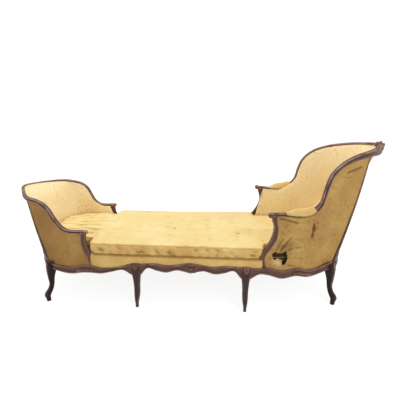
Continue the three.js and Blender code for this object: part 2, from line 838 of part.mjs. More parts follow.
// Cross bearers, let into the side rails at the middle legs and between them
for (const [name, x] of [['foot', -middleLegX], ['centre', 0], ['head', middleLegX]]) {
  const length = 2 * (halfWidthAt(x) - railThickness + housing);
  const bar = plainBlock(new THREE.BoxGeometry(bearerWidth, length, bearerDepth));
  bar.translate(x, 0, plankTop - bearerDepth / 2);
  const housed = cut(bar, [...cutters.legs, ...cutters.side.near, ...cutters.side.far]);
  addPiece(`${name}_cross_bearer`, housed, 'wood');
}

// Webbing: straps both ways on top of the rails, joined where they cross, with open squares between them
function webbing() {
  const columns = 7;
  const rows = 3;
  const steps = 8;
  const from = footLegX + webbingStrap;
  const to = headLegX - webbingStrap;
  const edge = (x) => halfWidthAt(x) - railThickness + webbingLap;
  const foot = plankTop + jointGap;
  const section = [[-1, 0], [1, 0], [1, 1], [-1, 1]];
  const rings = [];
  for (let i = 0; i <= steps; i += 1) {
    const x = lerp(from, to, i / steps);
    rings.push(section.map(([across, up]) => vec(x, edge(x) * across, foot + webbingThickness * up)));
  }
  const pitchX = (to - from) / columns;
  const clearHalf = Math.min(edge(from), edge(to)) - webbingStrap / 2;
  const pitchY = 2 * clearHalf / rows;
  const square = new THREE.BoxGeometry(pitchX - webbingStrap, pitchY - webbingStrap, bearerDepth);
  const squares = [];
  for (let i = 0; i < columns; i += 1) {
    for (let j = 0; j < rows; j += 1) {
      const x = from + pitchX * (i + 1 / 2);
      const y = -clearHalf + pitchY * (j + 1 / 2);
      squares.push(plainBlock(square.clone().translate(x, y, plankTop)));
    }
  }
  return cut(loft(rings, section), squares);
}
addPiece('webbing', webbing(), 'webbing');

// Stuffed seat on the webbing, between the borders
const seatInset = borderInset + borderThickness + jointGap;

function seatPad() {
  const outline = [];
  const steps = 6;
  const bottom = plankTop + webbingThickness + 2 * jointGap;
  const depth = seatTop - bottom;
  const side = [];
  const addRun = (from, to) => {
    for (let i = 0; i <= steps; i += 1) side.push(lerp(from, to, i / steps));
  };
  const sideEdge = (x, sign) => outline.push(new THREE.Vector2(x, sign * (halfWidthAt(x) - seatInset)));
  const endEdge = (end, y) => outline.push(new THREE.Vector2(endFaceX(end, y) - end.sign * seatInset, y));
  const endHalf = (end) => end.legY - seatInset;
  addRun(footLegX + seatInset, -middleLegX);
  addRun(middleLegX, headLegX - seatInset);
  for (const x of side) sideEdge(x, near);
  for (let i = 0; i <= steps; i += 1) endEdge(headEnd, lerp(-1, 1, i / steps) * endHalf(headEnd));
  for (const x of side.reverse()) sideEdge(x, far);
  for (let i = steps; i >= 0; i -= 1) endEdge(footEnd, lerp(-1, 1, i / steps) * endHalf(footEnd));
  return plainBlock(new THREE.ExtrudeGeometry(new THREE.Shape(outline), { depth, bevelEnabled: false }))
    .translate(0, 0, bottom);
}
const standing = [...cutters.posts, ...cutters.stiles, ...cutters.legs, ...cutters.endRails];
addPiece('stuffed_seat', cut(seatPad(), standing), 'silk');

// Borders: the covered long edges of the seat, from arm post to arm post, seated on the ledge
function seatBorder(side) {
  const steps = 12;
  const back = borderInset + borderThickness;
  const from = footEnd.postX - footEnd.sway * borderEndShares.foot;
  const to = headEnd.postX + headEnd.sway * borderEndShares.head;
  const rings = [];
  const section = (low) => [
    [-back, low], [-borderInset - borderRound, low], [-borderInset, low + 2 * borderRound],
    [-borderInset, seatTop - 2 * borderRound], [-borderInset - borderRound, seatTop], [-back, seatTop],
  ];
  for (let i = 0; i <= steps; i += 1) {
    const x = lerp(from, to, i / steps);
    const low = apronEdges(x).top - housing / 2;
    rings.push(section(low).map(([o, z]) => vec(x, side * (halfWidthAt(x) + o), z)));
  }
  return loft(rings, section(apronTop));
}

for (const [side, sideName] of sides) {
  const neighbours = [...cutters.side[sideName], ...cutters.legs, ...cutters.posts];
  addPiece(`${sideName}_seat_border`, cut(seatBorder(side), neighbours), 'silk');
}

// Loose squab cushion: wide between the arm posts, narrower inside the ends, crowned, with drawn-in sides
const squabRoundness = 2.3;
const squabSwellShare = 0.5;
const squabFoot = seatTop + jointGap;
const clearOf = (end, narrowest) => (
  end.armHalfWidth * narrowest - topRailWidth / 2 - padGap - backPadTop - liftGap
);
const narrowest = (end) => Math.min(...end.railShares.slice(0, 4).map((row) => row[1]));
const squabEndX = (end) => (
  endFaceX(end, 0) - end.sign * (backPadBack + backPadBase + squabEndGap)
);

const squabShoulderEnd = (end) => end.sign * end.postX - (end === headEnd ? headPostSway : liftGap);

function squabHalfWidth(x) {
  const end = x > 0 ? headEnd : footEnd;
  const ahead = end.sign * x;
  const post = squabShoulderEnd(end);
  const wide = halfWidthAt(x) - squabFrontInset;
  const inArms = clearOf(end, narrowest(end)) - (halfWidthAt(end.sign * middleLegX) - halfWidthAt(x));
  const drawn = lerp(wide, inArms, smoothstep(ahead, post - squabShoulder, post));
  const past = clamp((ahead - end.sign * squabEndX(end)) / squabEndRound + 1, 0, 1);
  return drawn * (1 - past ** squabRoundness) ** (1 / squabRoundness);
}

const squabSectionShares = [
  [-0.92, 0], [0, 0], [0.92, 0], [1, 0.08], [0.94, 0.36], [0.94, 0.66], [1, 0.94], [0.93, 1], [0.62, 1],
  [0.22, 1], [-0.22, 1], [-0.62, 1], [-0.93, 1], [-1, 0.94], [-0.94, 0.66], [-0.94, 0.36], [-1, 0.08],
];
const squabRoundShares = [0.037, 0.112, 0.28, 0.56, 0.94, 1.35];
const squabShoulderShares = [1, 0.8, 0.6, 0.4, 0.2, 0];

// Stations along the cushion: at each end's rounding, at each shoulder and evenly between the shoulders
function squabStations() {
  const middleSteps = 5;
  const half = (end) => [
    ...squabRoundShares.map((share) => squabEndX(end) - end.sign * squabEndRound * share),
    ...squabShoulderShares.map((share) => end.sign * (squabShoulderEnd(end) + squabShoulder * (share - 1))),
  ];
  const foot = half(footEnd);
  const head = half(headEnd);
  const [from, to] = [foot[foot.length - 1], head[head.length - 1]];
  const between = [];
  for (let i = 1; i < middleSteps; i += 1) between.push(lerp(from, to, i / middleSteps));
  return [...foot, ...between, ...head.reverse()];
}

function squab() {
  const rings = squabStations().map((x) => {
    const half = squabHalfWidth(x);
    const swell = clamp(half / footArmHalfWidth, 0, 1) ** squabSwellShare;
    return squabSectionShares.map(([across, up]) => {
      const crown = up === 1 ? squabCrown * swell * (1 - across ** 2) : 0;
      return vec(x, half * across, squabFoot + squabThickness * up + crown);
    });
  });
  const middle = rings[Math.floor(rings.length / 2)];
  return loft(rings, middle.map((p) => [p.y, p.z]));
}
addPiece('squab_cushion', squab(), 'silk');

sofa.updateMatrixWorld(true);
const reach = new THREE.Box3().setFromObject(sofa);
sofa.position.x = -(reach.min.x + reach.max.x) / 2;

export default sofa;
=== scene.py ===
# %% [markdown]
# A recamier of the French duchesse kind: one long seat between a high and a low gondola end.
# The measured model gives the sizes. This script dresses it: it sweeps the mouldings of the carved frame,
# lays damask over the stuffing, and lights the whole as in a plain studio.
# Everything is worked out in millimetres in the maker's own frame: X runs from the low end to the high one,
# Y away from the camera and Z up from the floor. The mesh builder moves each piece to the model's frame.

# %% Load the measured frame
import math
from types import SimpleNamespace

import bpy
import numpy as np
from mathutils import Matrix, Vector, noise


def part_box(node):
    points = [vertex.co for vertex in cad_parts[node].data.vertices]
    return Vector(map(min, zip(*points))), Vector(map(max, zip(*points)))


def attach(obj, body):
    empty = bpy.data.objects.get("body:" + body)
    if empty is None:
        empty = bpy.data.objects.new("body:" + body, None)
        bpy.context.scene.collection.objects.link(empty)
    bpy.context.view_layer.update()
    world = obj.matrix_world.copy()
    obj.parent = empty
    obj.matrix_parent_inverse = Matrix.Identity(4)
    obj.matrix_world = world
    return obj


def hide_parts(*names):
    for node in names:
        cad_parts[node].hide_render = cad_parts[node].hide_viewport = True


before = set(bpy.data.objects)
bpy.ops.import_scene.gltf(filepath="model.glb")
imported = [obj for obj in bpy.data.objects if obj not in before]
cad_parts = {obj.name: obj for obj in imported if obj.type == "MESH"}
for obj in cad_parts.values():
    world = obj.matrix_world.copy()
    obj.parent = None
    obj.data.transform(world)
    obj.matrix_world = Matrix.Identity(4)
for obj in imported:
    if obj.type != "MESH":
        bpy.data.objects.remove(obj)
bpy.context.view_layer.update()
# One millimetre in metres, and the sign of Y on the camera's side and on the far side.
MM = 0.001
NEAR, FAR = -1, 1

# %% [markdown]
# Blender's shaders want linear colours, while paint charts and photographs speak in sRGB hex values.
# One small function turns a hex value into a linear one. A second adds a shader node and links it, so that
# each material below reads as a short list of steps.

# %% Colour and node helpers


def linear(code):
    """An sRGB hex colour as the linear colour that a socket takes."""
    parts = [int(code[i:i + 2], 16) / 255 for i in (1, 3, 5)]
    return [c / 12.92 if c < 0.04045 else ((c + 0.055) / 1.055) ** 2.4 for c in parts] + [1.0]


def add(tree, kind, inputs=None, **settings):
    """Adds one node. Inputs give a socket a value, or link it to a node or a node's output."""
    node = tree.nodes.new("ShaderNode" + kind)
    for key, value in settings.items():
        setattr(node, key, value)
    for key, value in (inputs or {}).items():
        if isinstance(value, bpy.types.Node):
            value = value.outputs[0]
        if isinstance(value, bpy.types.NodeSocket):
            tree.links.new(value, node.inputs[key])
        else:
            node.inputs[key].default_value = value
    return node


def new_material(name):
    """An empty material with its Principled shader."""
    material = bpy.data.materials.new(name)
    material.use_nodes = True
    tree = material.node_tree
    tree.nodes.clear()
    shader = add(tree, "BsdfPrincipled")
    add(tree, "OutputMaterial", {"Surface": shader})
    return material, tree, shader


print("a mid grey, #808080, is", [round(c, 3) for c in linear("#808080")], "in linear values")

# %% [markdown]
# A maker draws a moulding or a leg from a few measured points and joins them with a bent lath. The tables
# below work the same way: each row is one measured place, and a smooth curve runs through the rows. A few
# small sums, such as a blend between two values, are used by nearly every piece.

# %% Curves and small sums


def curve(rows, level=False):
    """A smooth curve through a table: the first column is the place, the rest are values.

    It is read with a place and gives the row of values there. A level curve runs flat through each row."""
    table = np.array(rows, float)
    places, values = table[:, 0], table[:, 1:]
    slopes = np.gradient(values, places, axis=0) * (0 if level else 1)

    def read(place):
        place = min(max(place, places[0]), places[-1])
        i = min(max(int(np.searchsorted(places, place)) - 1, 0), len(places) - 2)
        span = places[i + 1] - places[i]
        t = (place - places[i]) / span
        a, b = values[i], values[i + 1]
        return (a + t * t * (3 - 2 * t) * (b - a)
                + span * t * (1 - t) * ((1 - t) * slopes[i] - t * slopes[i + 1]))

    return read


def lerp(a, b, t):
    return a + (b - a) * t


def clamp(value, low=0.0, high=1.0):
    return min(max(value, low), high)


def ease(value, low=0.0, high=1.0):
    """0 below low, 1 above high, and a soft rise between them."""
    t = clamp((value - low) / (high - low))
    return t * t * (3 - 2 * t)


def plateau(high, value, start, top, fall, stop):
    """0 before start and after stop, high between top and fall, with soft slopes."""
    return high * ease(value, start, top) * (1 - ease(value, fall, stop))


def unit(v):
    v = np.asarray(v, float)
    return v / np.linalg.norm(v)


def running_length(points):
    """Length of a line of points from its start to each point."""
    steps = np.linalg.norm(np.diff(points, axis=0), axis=1)
    return np.concatenate([[0], np.cumsum(steps)])


def shares(steps):
    """Numbers from 0 to 1 in so many equal steps."""
    return [step / steps for step in range(steps + 1)]


def circle_angles(count):
    """Angles of points evenly round a circle."""
    return np.linspace(0, 2 * math.pi, count, endpoint=False)


def quarter_round(share):
    """0 at the edge and 1 inside, as the profile of a quarter circle."""
    return math.sqrt(clamp(1 - (1 - clamp(share)) ** 2))


print("an ease half way up is", ease(0.5))

# %% [markdown]
# The seat frame is a long serpentine ring of rails on eight cabriole legs. Its plan and the waves of its
# apron come from a few tables, which are read as smooth curves. The apron is what a carver would saw
# first: the front edge of the rail, cut to waves above and below.

# %% Plan of the seat frame, in millimetres
# The middle legs stand MIDDLE_X from the centre, and the corner legs a side's length further out.
MIDDLE_X, HEAD_SIDE, FOOT_SIDE = 322.0, 508.0, 533.0
# Half the width at the middle legs, and how far the plan draws in from there to the corner legs.
HEAD_HALF, FOOT_HALF, HEAD_INSET, FOOT_INSET = 350.0, 338.0, 98.0, 28.0
# Heights: the apron's mean top, how deep it hangs, how high a full wave is, and the plank behind it.
APRON_TOP, APRON_HIGH, WAVE, PLANK_TOP = 277.0, 52.0, 26.0, 297.0
# Heights of the bowed end rails at their middle, and of the seat without its squab.
END_TOP, END_BOTTOM, SEAT_TOP = 308.0, 214.0, 327.7
# Depths in plan: the ledge in front of the plank, the whole rail, and the legs' middle from the face.
LEDGE, RAIL_THICK, LEG_INSET = 27.0, 41.0, 21.0

# Each row: share of the way from a middle leg to the centre or to the corner leg, then the waves of the
# top and the lower edge there.
WAVES = {
    "centre": curve([
        [0, 0.04, -1.1], [0.08, 0.04, -0.8], [0.2, 0.14, 0.92], [0.38, 0.24, 0.46], [0.56, -0.12, 0.06],
        [0.76, 0.12, 0.72], [0.9, 0.5, 0.38], [1, 0.6, 0.04]]),
    "head": curve([
        [0, 0.04, -1.1], [0.05, 0.02, -0.8], [0.14, -0.1, 0.34], [0.24, 0.06, 0.2], [0.4, -0.82, -0.8],
        [0.58, -0.44, -0.42], [0.71, -1.12, -0.92], [0.86, -0.66, -0.38], [1, 0.1, 0.4]]),
    "foot": curve([
        [0, 0.04, -1.1], [0.05, 0.0, -0.8], [0.14, -0.6, 0.34], [0.26, -1.15, -0.1], [0.38, -1.3, -0.76],
        [0.53, -0.8, -0.74], [0.62, -0.86, -0.86], [0.75, -1.46, -1.28], [0.88, -1.3, -0.95],
        [0.95, -1.05, -0.5], [1, -0.45, 0.1]]),
}


def half_width(x):
    """Half the width of the seat frame at x."""
    taper = lerp(FOOT_HALF, HEAD_HALF, clamp((x + MIDDLE_X) / (2 * MIDDLE_X)))
    head = max(0.0, x - MIDDLE_X) / HEAD_SIDE
    foot = max(0.0, -x - MIDDLE_X) / FOOT_SIDE
    return taper - HEAD_INSET * head ** 2 - FOOT_INSET * foot ** 2


def apron_edges(x):
    """Heights of the apron's top and bottom edge at x."""
    past = abs(x) - MIDDLE_X
    if past <= 0:
        rise = WAVES["centre"](-past / MIDDLE_X)
    elif x > 0:
        rise = WAVES["head"](past / HEAD_SIDE)
    else:
        rise = WAVES["foot"](past / FOOT_SIDE)
    return APRON_TOP + WAVE * rise[0], APRON_TOP - APRON_HIGH + WAVE * rise[1]


print("the seat frame is", round(2 * half_width(0)), "mm wide at its middle")

# %% [markdown]
# Each end is a gondola: the top rail leaves the arm level, sweeps up in an S, and runs round the back in
# one line. The keys below follow that line on the near half, from the arm's tip to the middle of the
# crest: share of the way from arm to crest, share across, share up, and how far the section has turned from
# the side to the end. The far half is its mirror image. An arm post's rows give its sway and its width.
# The other values are the end's own sizes: where its arm, post and crest stand, how far it bows out, how
# tall and slim its crest is, how proud its end rail stands, how far below the apron's top its legs start,
# how big the knob is, how full the pad is at its sides, and how much higher it reaches at the back.

# %% The two gondola ends
head = SimpleNamespace(
    name="head", sign=1, leg_x=MIDDLE_X + HEAD_SIDE, bow=85.0, arm_z=590.0, crest_z=938.0, arm_in=390.0,
    crest_out=294.0, arm_half=320.0, post_in=405.0, sway=34.0, stile_bow=12.0, stile_key=10,
    crest_extra=34.0, slim=1.0, proud=6.0, leg_drop=3.0, knob=15.0, pad_edge=0.3, pad_lift=0.0,
    rail=[
        [0, 1, 0, 0], [0.115, 0.935, -0.015, 0], [0.212, 0.955, -0.018, 0], [0.31, 0.965, 0, 0],
        [0.383, 0.96, 0.105, 0], [0.415, 0.955, 0.27, 0.02], [0.433, 0.945, 0.44, 0.05],
        [0.472, 0.905, 0.632, 0.1], [0.553, 0.845, 0.785, 0.2], [0.665, 0.735, 0.885, 0.3],
        [0.8, 0.585, 0.945, 0.36], [0.915, 0.34, 0.982, 0.62], [1, 0, 1, 1]],
    post=curve([
        [0, -0.1, 0.74], [0.1, -0.45, 0.82], [0.19, -0.7, 0.92], [0.3, -0.4, 0.96], [0.4, 0.12, 0.96],
        [0.5, 0.58, 0.94], [0.62, 0.8, 0.8], [0.76, 0.74, 0.68], [0.88, 0.35, 0.76], [1, 0, 0.9]]))
foot = SimpleNamespace(
    name="foot", sign=-1, leg_x=-MIDDLE_X - FOOT_SIDE, bow=115.0, arm_z=446.0, crest_z=656.0, arm_in=233.0,
    crest_out=272.0, arm_half=276.0, post_in=265.0, sway=20.0, stile_bow=4.0, stile_key=9,
    crest_extra=8.0, slim=0.75, proud=16.0, leg_drop=12.0, knob=12.0, pad_edge=0.7, pad_lift=4.0,
    rail=[
        [0, 1, 0, 0], [0.13, 0.975, -0.012, 0], [0.235, 0.985, 0.015, 0], [0.3, 0.99, 0.12, 0],
        [0.34, 1, 0.26, 0.02], [0.378, 1.015, 0.44, 0.04], [0.42, 1.005, 0.63, 0.08],
        [0.485, 0.97, 0.775, 0.14], [0.585, 0.915, 0.865, 0.22], [0.7, 0.855, 0.915, 0.3],
        [0.87, 0.48, 0.975, 0.6], [1, 0, 1, 1]],
    post=curve([
        [0, 0, 0.84], [0.1, 0.1, 0.86], [0.2, 0, 0.9], [0.3, 0.05, 1.08], [0.42, 0.35, 1.18],
        [0.56, 0.7, 1], [0.68, 0.8, 0.84], [0.84, 0.45, 0.85], [1, 0, 0.9]]))
ENDS = (head, foot)
SIDES = ((NEAR, "near"), (FAR, "far"))
CORNERS = [(end, side, side_name) for end in ENDS for side, side_name in SIDES]
CORNER_SPLAY = 1.15

for end in ENDS:
    end.leg_y = half_width(end.leg_x) - LEG_INSET
    end.arm_x = end.leg_x - end.sign * end.arm_in
    end.crest_x = end.leg_x + end.sign * end.crest_out
    end.post_x = end.leg_x - end.sign * end.post_in
    keys = [(lerp(end.arm_x, end.crest_x, along), -end.arm_half * across,
             lerp(end.arm_z, end.crest_z, up), turn) for along, across, up, turn in end.rail]
    keys += [(x, -y, z, 2 - turn) for x, y, z, turn in keys[-2::-1]]
    end.keys = np.array(keys)
    end.last = len(keys) - 1


def rail_line(end, key):
    """A point on the top rail's line: a centripetal curve through the keys."""
    points = end.keys[:, :3]
    key = clamp(key, 0.0, float(end.last))
    i = min(int(key), end.last - 1)
    t = key - i
    p1, p2 = points[i], points[i + 1]
    p0 = points[i - 1] if i else 2 * p1 - p2
    p3 = points[i + 2] if i + 2 <= end.last else 2 * p2 - p1
    d0, d1, d2 = [np.linalg.norm(b - a) ** 0.5 for a, b in ((p0, p1), (p1, p2), (p2, p3))]
    m1 = ((p1 - p0) / d0 - (p2 - p0) / (d0 + d1) + (p2 - p1) / d1) * d1
    m2 = ((p2 - p1) / d1 - (p3 - p1) / (d1 + d2) + (p3 - p2) / d2) * d1
    return (p1 + m1 * t + (3 * (p2 - p1) - 2 * m1 - m2) * t ** 2
            + (2 * (p1 - p2) + m1 + m2) * t ** 3)


def rail_frame(end, key):
    """Point, tangent, outward and up directions of the top rail, and its turn from side to end."""
    step = 0.01
    point = rail_line(end, key)
    tangent = unit(rail_line(end, key + step) - rail_line(end, key - step))
    low = min(int(key), end.last - 1)
    turn = lerp(end.keys[low][3], end.keys[low + 1][3], key - low)
    angle = turn * math.pi / 2
    outward = np.array([end.sign * math.sin(angle), -math.cos(angle), 0.0])
    outward = unit(outward - outward @ tangent * tangent)
    return SimpleNamespace(point=point, tangent=tangent, outward=outward,
                           up=end.sign * np.cross(outward, tangent), turn=turn)


def at_side(point, side):
    """A point of the near half, moved to the far half where that side is asked for."""
    return point * [1, -side, 1]


def corner_outward(end, side):
    """The direction that a corner leg faces."""
    return unit([end.sign * CORNER_SPLAY, side, 0])


def end_arch(end, y):
    """1 at the middle of an end and 0 at its corner legs."""
    return 1 - (y / end.leg_y) ** 2


def end_face_x(end, y):
    """Where the bowed end rail's face stands at y."""
    return end.leg_x + end.sign * (LEG_INSET + end.bow * end_arch(end, y))


for end in ENDS:
    print(end.name, "end: crest at", [round(c) for c in rail_line(end, end.last / 2)], "mm")

# %% [markdown]
# Between the seat rail and the top rail runs a curved shell. Its outside carries the outside covers, and
# its inside the stuffing, so both are read from one function: a place round the end (0 is the near arm
# post, 1 the near rear post, 2 the middle of the back, 4 the far arm post) and a height.

# %% The shell of an end
BOW = curve([[0, 0], [0.25, 0.68], [0.55, 1], [0.8, 0.66], [1, 0]])
HOLLOW = curve([[0, 0], [0.67, 1], [0.8, 1], [1, 0]], level=True)
STILE_WIDTH, STILE_SUNK, STILE_OUT, BACK_HOLLOW = 18.0, 6.0, 16.5, 40.0
# Key of the rail over the arm post, the place where the plan starts to tuck in to the rear post, how far
# round the post's sway is felt, and where the rear post's bow begins.
POST_KEY, TUCK, SWAY_REACH, BOW_FROM = 0.3, 0.72, 0.6, 0.4


def stile_foot(end, side):
    """Where a rear post stands over its corner leg."""
    foot_point = np.array([end.leg_x, side * end.leg_y, APRON_TOP - STILE_SUNK])
    return foot_point + STILE_OUT * corner_outward(end, side)


def shell_base(end, place):
    """The shell's lowest point at a place of the near half, on top of the rails."""
    corner = stile_foot(end, NEAR) + STILE_WIDTH / 2 * corner_outward(end, NEAR)
    if place <= 1:
        x = lerp(end.post_x, corner[0], place)
        y = lerp(-half_width(x), corner[1], ease(place, TUCK, 1))
        return np.array([x, y, apron_edges(x)[0]])
    y = lerp(corner[1], 0, place - 1)
    tuck = 1 - ease(place - 1, 0, 1 - TUCK)
    face = end_face_x(end, clamp(y, -end.leg_y, end.leg_y))
    return np.array([lerp(face, corner[0], tuck), y, lerp(APRON_TOP, END_TOP, end_arch(end, y))])


UPRIGHTS = {}


def upright(end, place):
    """What an upright line of the shell shares at all heights: its base, its rail and its directions."""
    key = end.name, round(place, 6)
    if key not in UPRIGHTS:
        half = 4 - place if place > 2 else place
        if half <= 1:
            rail_key = lerp(POST_KEY, end.stile_key, half)
            outward = unit([end.sign * half ** 3, -1, 0])
        else:
            rail_key = lerp(end.stile_key, end.last / 2, half - 1)
            outward = unit([end.sign, half - 2, 0])
        UPRIGHTS[key] = SimpleNamespace(
            base=shell_base(end, half), rail=rail_frame(end, rail_key), outward=outward,
            sway=end.sign * end.sway * (1 - clamp(half / SWAY_REACH)) ** 2,
            bow=end.sign * end.stile_bow * ease(half, BOW_FROM, 1),
            hollow=end.sign * BACK_HOLLOW * math.sin(math.pi / 2 * max(0.0, half - 1)))
    return UPRIGHTS[key]


def shell_at(end, place, height):
    """Point and outward direction of the shell, and the heights of its base and of the rail above."""
    line = upright(end, place)
    base, top = line.base, line.rail
    share = (height - base[2]) / (top.point[2] - base[2])
    inner = clamp(share)
    point = lerp(base, top.point, share)
    point[0] += line.sway * end.post(inner)[0] + line.bow * BOW(inner)[0] - line.hollow * HOLLOW(inner)[0]
    point[2] = height
    outward = lerp(line.outward, top.outward, inner)
    outward[2] = 0
    outward = unit(outward)
    if place > 2:
        point[1] *= -1
        outward[1] *= -1
    return point, outward, base[2], top.point[2]


def behind_posts(place):
    """0 along the sides and at the rear posts, rising to 1 at the middle of the back."""
    return math.sin(math.pi / 2 * clamp(min(place, 4 - place) - 1))


for end in ENDS:
    print(end.name, "shell rises from", round(shell_at(end, 2, SEAT_TOP)[2]), "mm at its back")

# %% [markdown]
# Nearly every piece is a loft: rings of points joined into quads. One builder makes them all, moves them
# into the model's frame, and stores two things that the materials need. "flat_mm" gives each point its
# place on the flat board or cloth, in millimetres, so that grain and weave follow the piece and not the
# room. "edge" says how far a point stands proud or lies in a hollow: on wood, where polish wears off, a
# highlight is painted and dirt stays; on cloth, where shade is painted into the folds.

# %% What a mesh tells its material
low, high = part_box("webbing")
SHIFT = (low.x + high.x) / 2 / MM - (head.leg_x + foot.leg_x) / 2
print("the model's frame is shifted along X by", round(SHIFT, 2), "mm")


def read_all(data, field, width, kind=np.float32):
    """One field of all points or edges of a mesh, a row for each."""
    values = np.zeros(len(data) * width, kind)
    data.foreach_get(field, values)
    return values.reshape(-1, width)


def store(mesh, name, values, kind="FLOAT", field="value"):
    """Gives each point of a mesh a value that a material can read."""
    layer = mesh.attributes.new(name, kind, "POINT")
    layer.data.foreach_set(field, np.asarray(values, np.float32).ravel())


def mark_edges(mesh, radius, passes=1):
    """Stores each point's bend: +1 where it is as sharp as the radius in mm, -1 in such a hollow.

    Each pass spreads the mark a little over the points around."""
    count = len(mesh.vertices)
    points = read_all(mesh.vertices, "co", 3) / MM
    normals = read_all(mesh.vertex_normals, "vector", 3)
    a, b = read_all(mesh.edges, "vertices", 2, np.int32).T
    step = points[b] - points[a]
    length = np.maximum((step ** 2).sum(1), 0.01)
    total, weight = np.zeros(count), np.zeros(count)
    for here, away in ((a, -step), (b, step)):
        np.add.at(total, here, 2 * (normals[here] * away).sum(1) / length)
        np.add.at(weight, here, 1)
    bend = np.clip(total / np.maximum(weight, 1) * radius, -1, 1)
    for _ in range(passes):
        soft, weight = bend.copy(), np.ones(count)
        for here, there in ((a, b), (b, a)):
            np.add.at(soft, here, bend[there])
            np.add.at(weight, here, 1)
        bend = soft / weight
    store(mesh, "edge", bend)


def flat_places(rings):
    """Each point's place on the flat board or cloth: along the piece and round it."""
    flat = np.zeros(rings.shape)
    flat[..., 0] = running_length(rings.mean(1))[:, None]
    flat[..., 1] = running_length(rings[len(rings) // 2])[None, :]
    return flat


def stained_and_shaded(points, marks):
    """How dark (above 0) or pale (below 0) each point is, from marks of two places, a radius and a
    strength. Marks are real stains and bleaching, and painted shade along the torn cover's folds."""
    shade = np.zeros(len(points))
    for first, second, size, strength in marks:
        away = np.hypot(points[:, 0] - first, points[:, 1] - second) / size
        shade += strength * np.clip(1.6 * (1 - away), 0, 1)
    return np.clip(shade, -1, 1)


# %% [markdown]
# A loft can be closed like a stick or open like a strip of cloth, and its ends get lids or stay open. The
# builder also makes sure that the faces look outwards, because shading and cloth pressure rely on it, hangs
# the piece on an empty named after the body it rides on, and hides the measured solid it takes the place
# of.

# %% The mesh builder


def loft_faces(rows, count, closed):
    """Four-sided faces between neighbouring rings."""
    faces = []
    for r in range(rows - 1):
        for i in range(count if closed else count - 1):
            j = (i + 1) % count
            faces.append((r * count + i, r * count + j, (r + 1) * count + j, (r + 1) * count + i))
    return faces


def face_outwards(mesh):
    """Turns the mesh inside out where the volume that its faces enclose is negative."""
    volume = 0.0
    mesh.calc_loop_triangles()
    for tri in mesh.loop_triangles:
        p, q, s = (mesh.vertices[i].co for i in tri.vertices)
        volume += p.dot(q.cross(s))
    if volume < 0:
        mesh.flip_normals()


def build(name, rings, material, body="frame", closed=True, caps=True, flat=None, crease=38,
          radius=6, replaced=(), marks=(), mark_axes=(0, 2), missing=None):
    """A piece from rings of points in millimetres, all rings with the same count of points.

    Crease is the angle above which an edge is sharp, with 0 for a soft piece, and radius what counts as a
    sharp bend. Marks are stains and painted shade in the plane of two axes. Missing tells which faces are
    torn away."""
    rings = np.asarray(rings, float)
    rows, count, _ = rings.shape
    plain = rings.reshape(-1, 3)
    faces = loft_faces(rows, count, closed)
    if missing is not None:
        faces = [face for face in faces if not missing(*plain[list(face)].mean(0))]
    if caps:
        faces.append(tuple(range(count))[::-1])
        faces.append(tuple((rows - 1) * count + i for i in range(count)))
    mesh = bpy.data.meshes.new(name)
    mesh.from_pydata([tuple(p) for p in (plain + [SHIFT, 0, 0]) * MM], [], faces)
    face_outwards(mesh)
    store(mesh, "flat_mm", flat_places(rings) if flat is None else flat, "FLOAT_VECTOR", "vector")
    # The marks hold stains, and on the torn cover painted shade along its folds.
    if marks:
        store(mesh, "stain", stained_and_shaded(plain[:, mark_axes], marks))
    mesh.shade_smooth()
    if crease:
        mesh.set_sharp_from_angle(angle=math.radians(crease))
    mesh.materials.append(material)
    piece = bpy.data.objects.new(name, mesh)
    bpy.context.scene.collection.objects.link(piece)
    mark_edges(mesh, radius)
    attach(piece, body)
    if replaced:
        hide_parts(*replaced)
    return piece


# %% [markdown]
# Wood first. The frame is beech stained as dark walnut, carved by hand and waxed for two centuries. Wax
# gives it a low gloss; hands have rubbed the raised edges, and dirt has stayed in the hollows. The greyish
# pink on the raised edges is partly that wear and partly a painted highlight. The real pores are about
# 0.3 mm wide, too fine to show, so the grain is drawn 3 mm wide. One recipe with other colours gives the
# rails, the darker legs and the bare wood inside the frame.

# %% Waxed show wood and bare frame wood
GRAIN_LONG, GRAIN_WIDE, WEAR_PATCH, GRAIN_DEEP = 80.0, 3.0, 50.0, 0.6


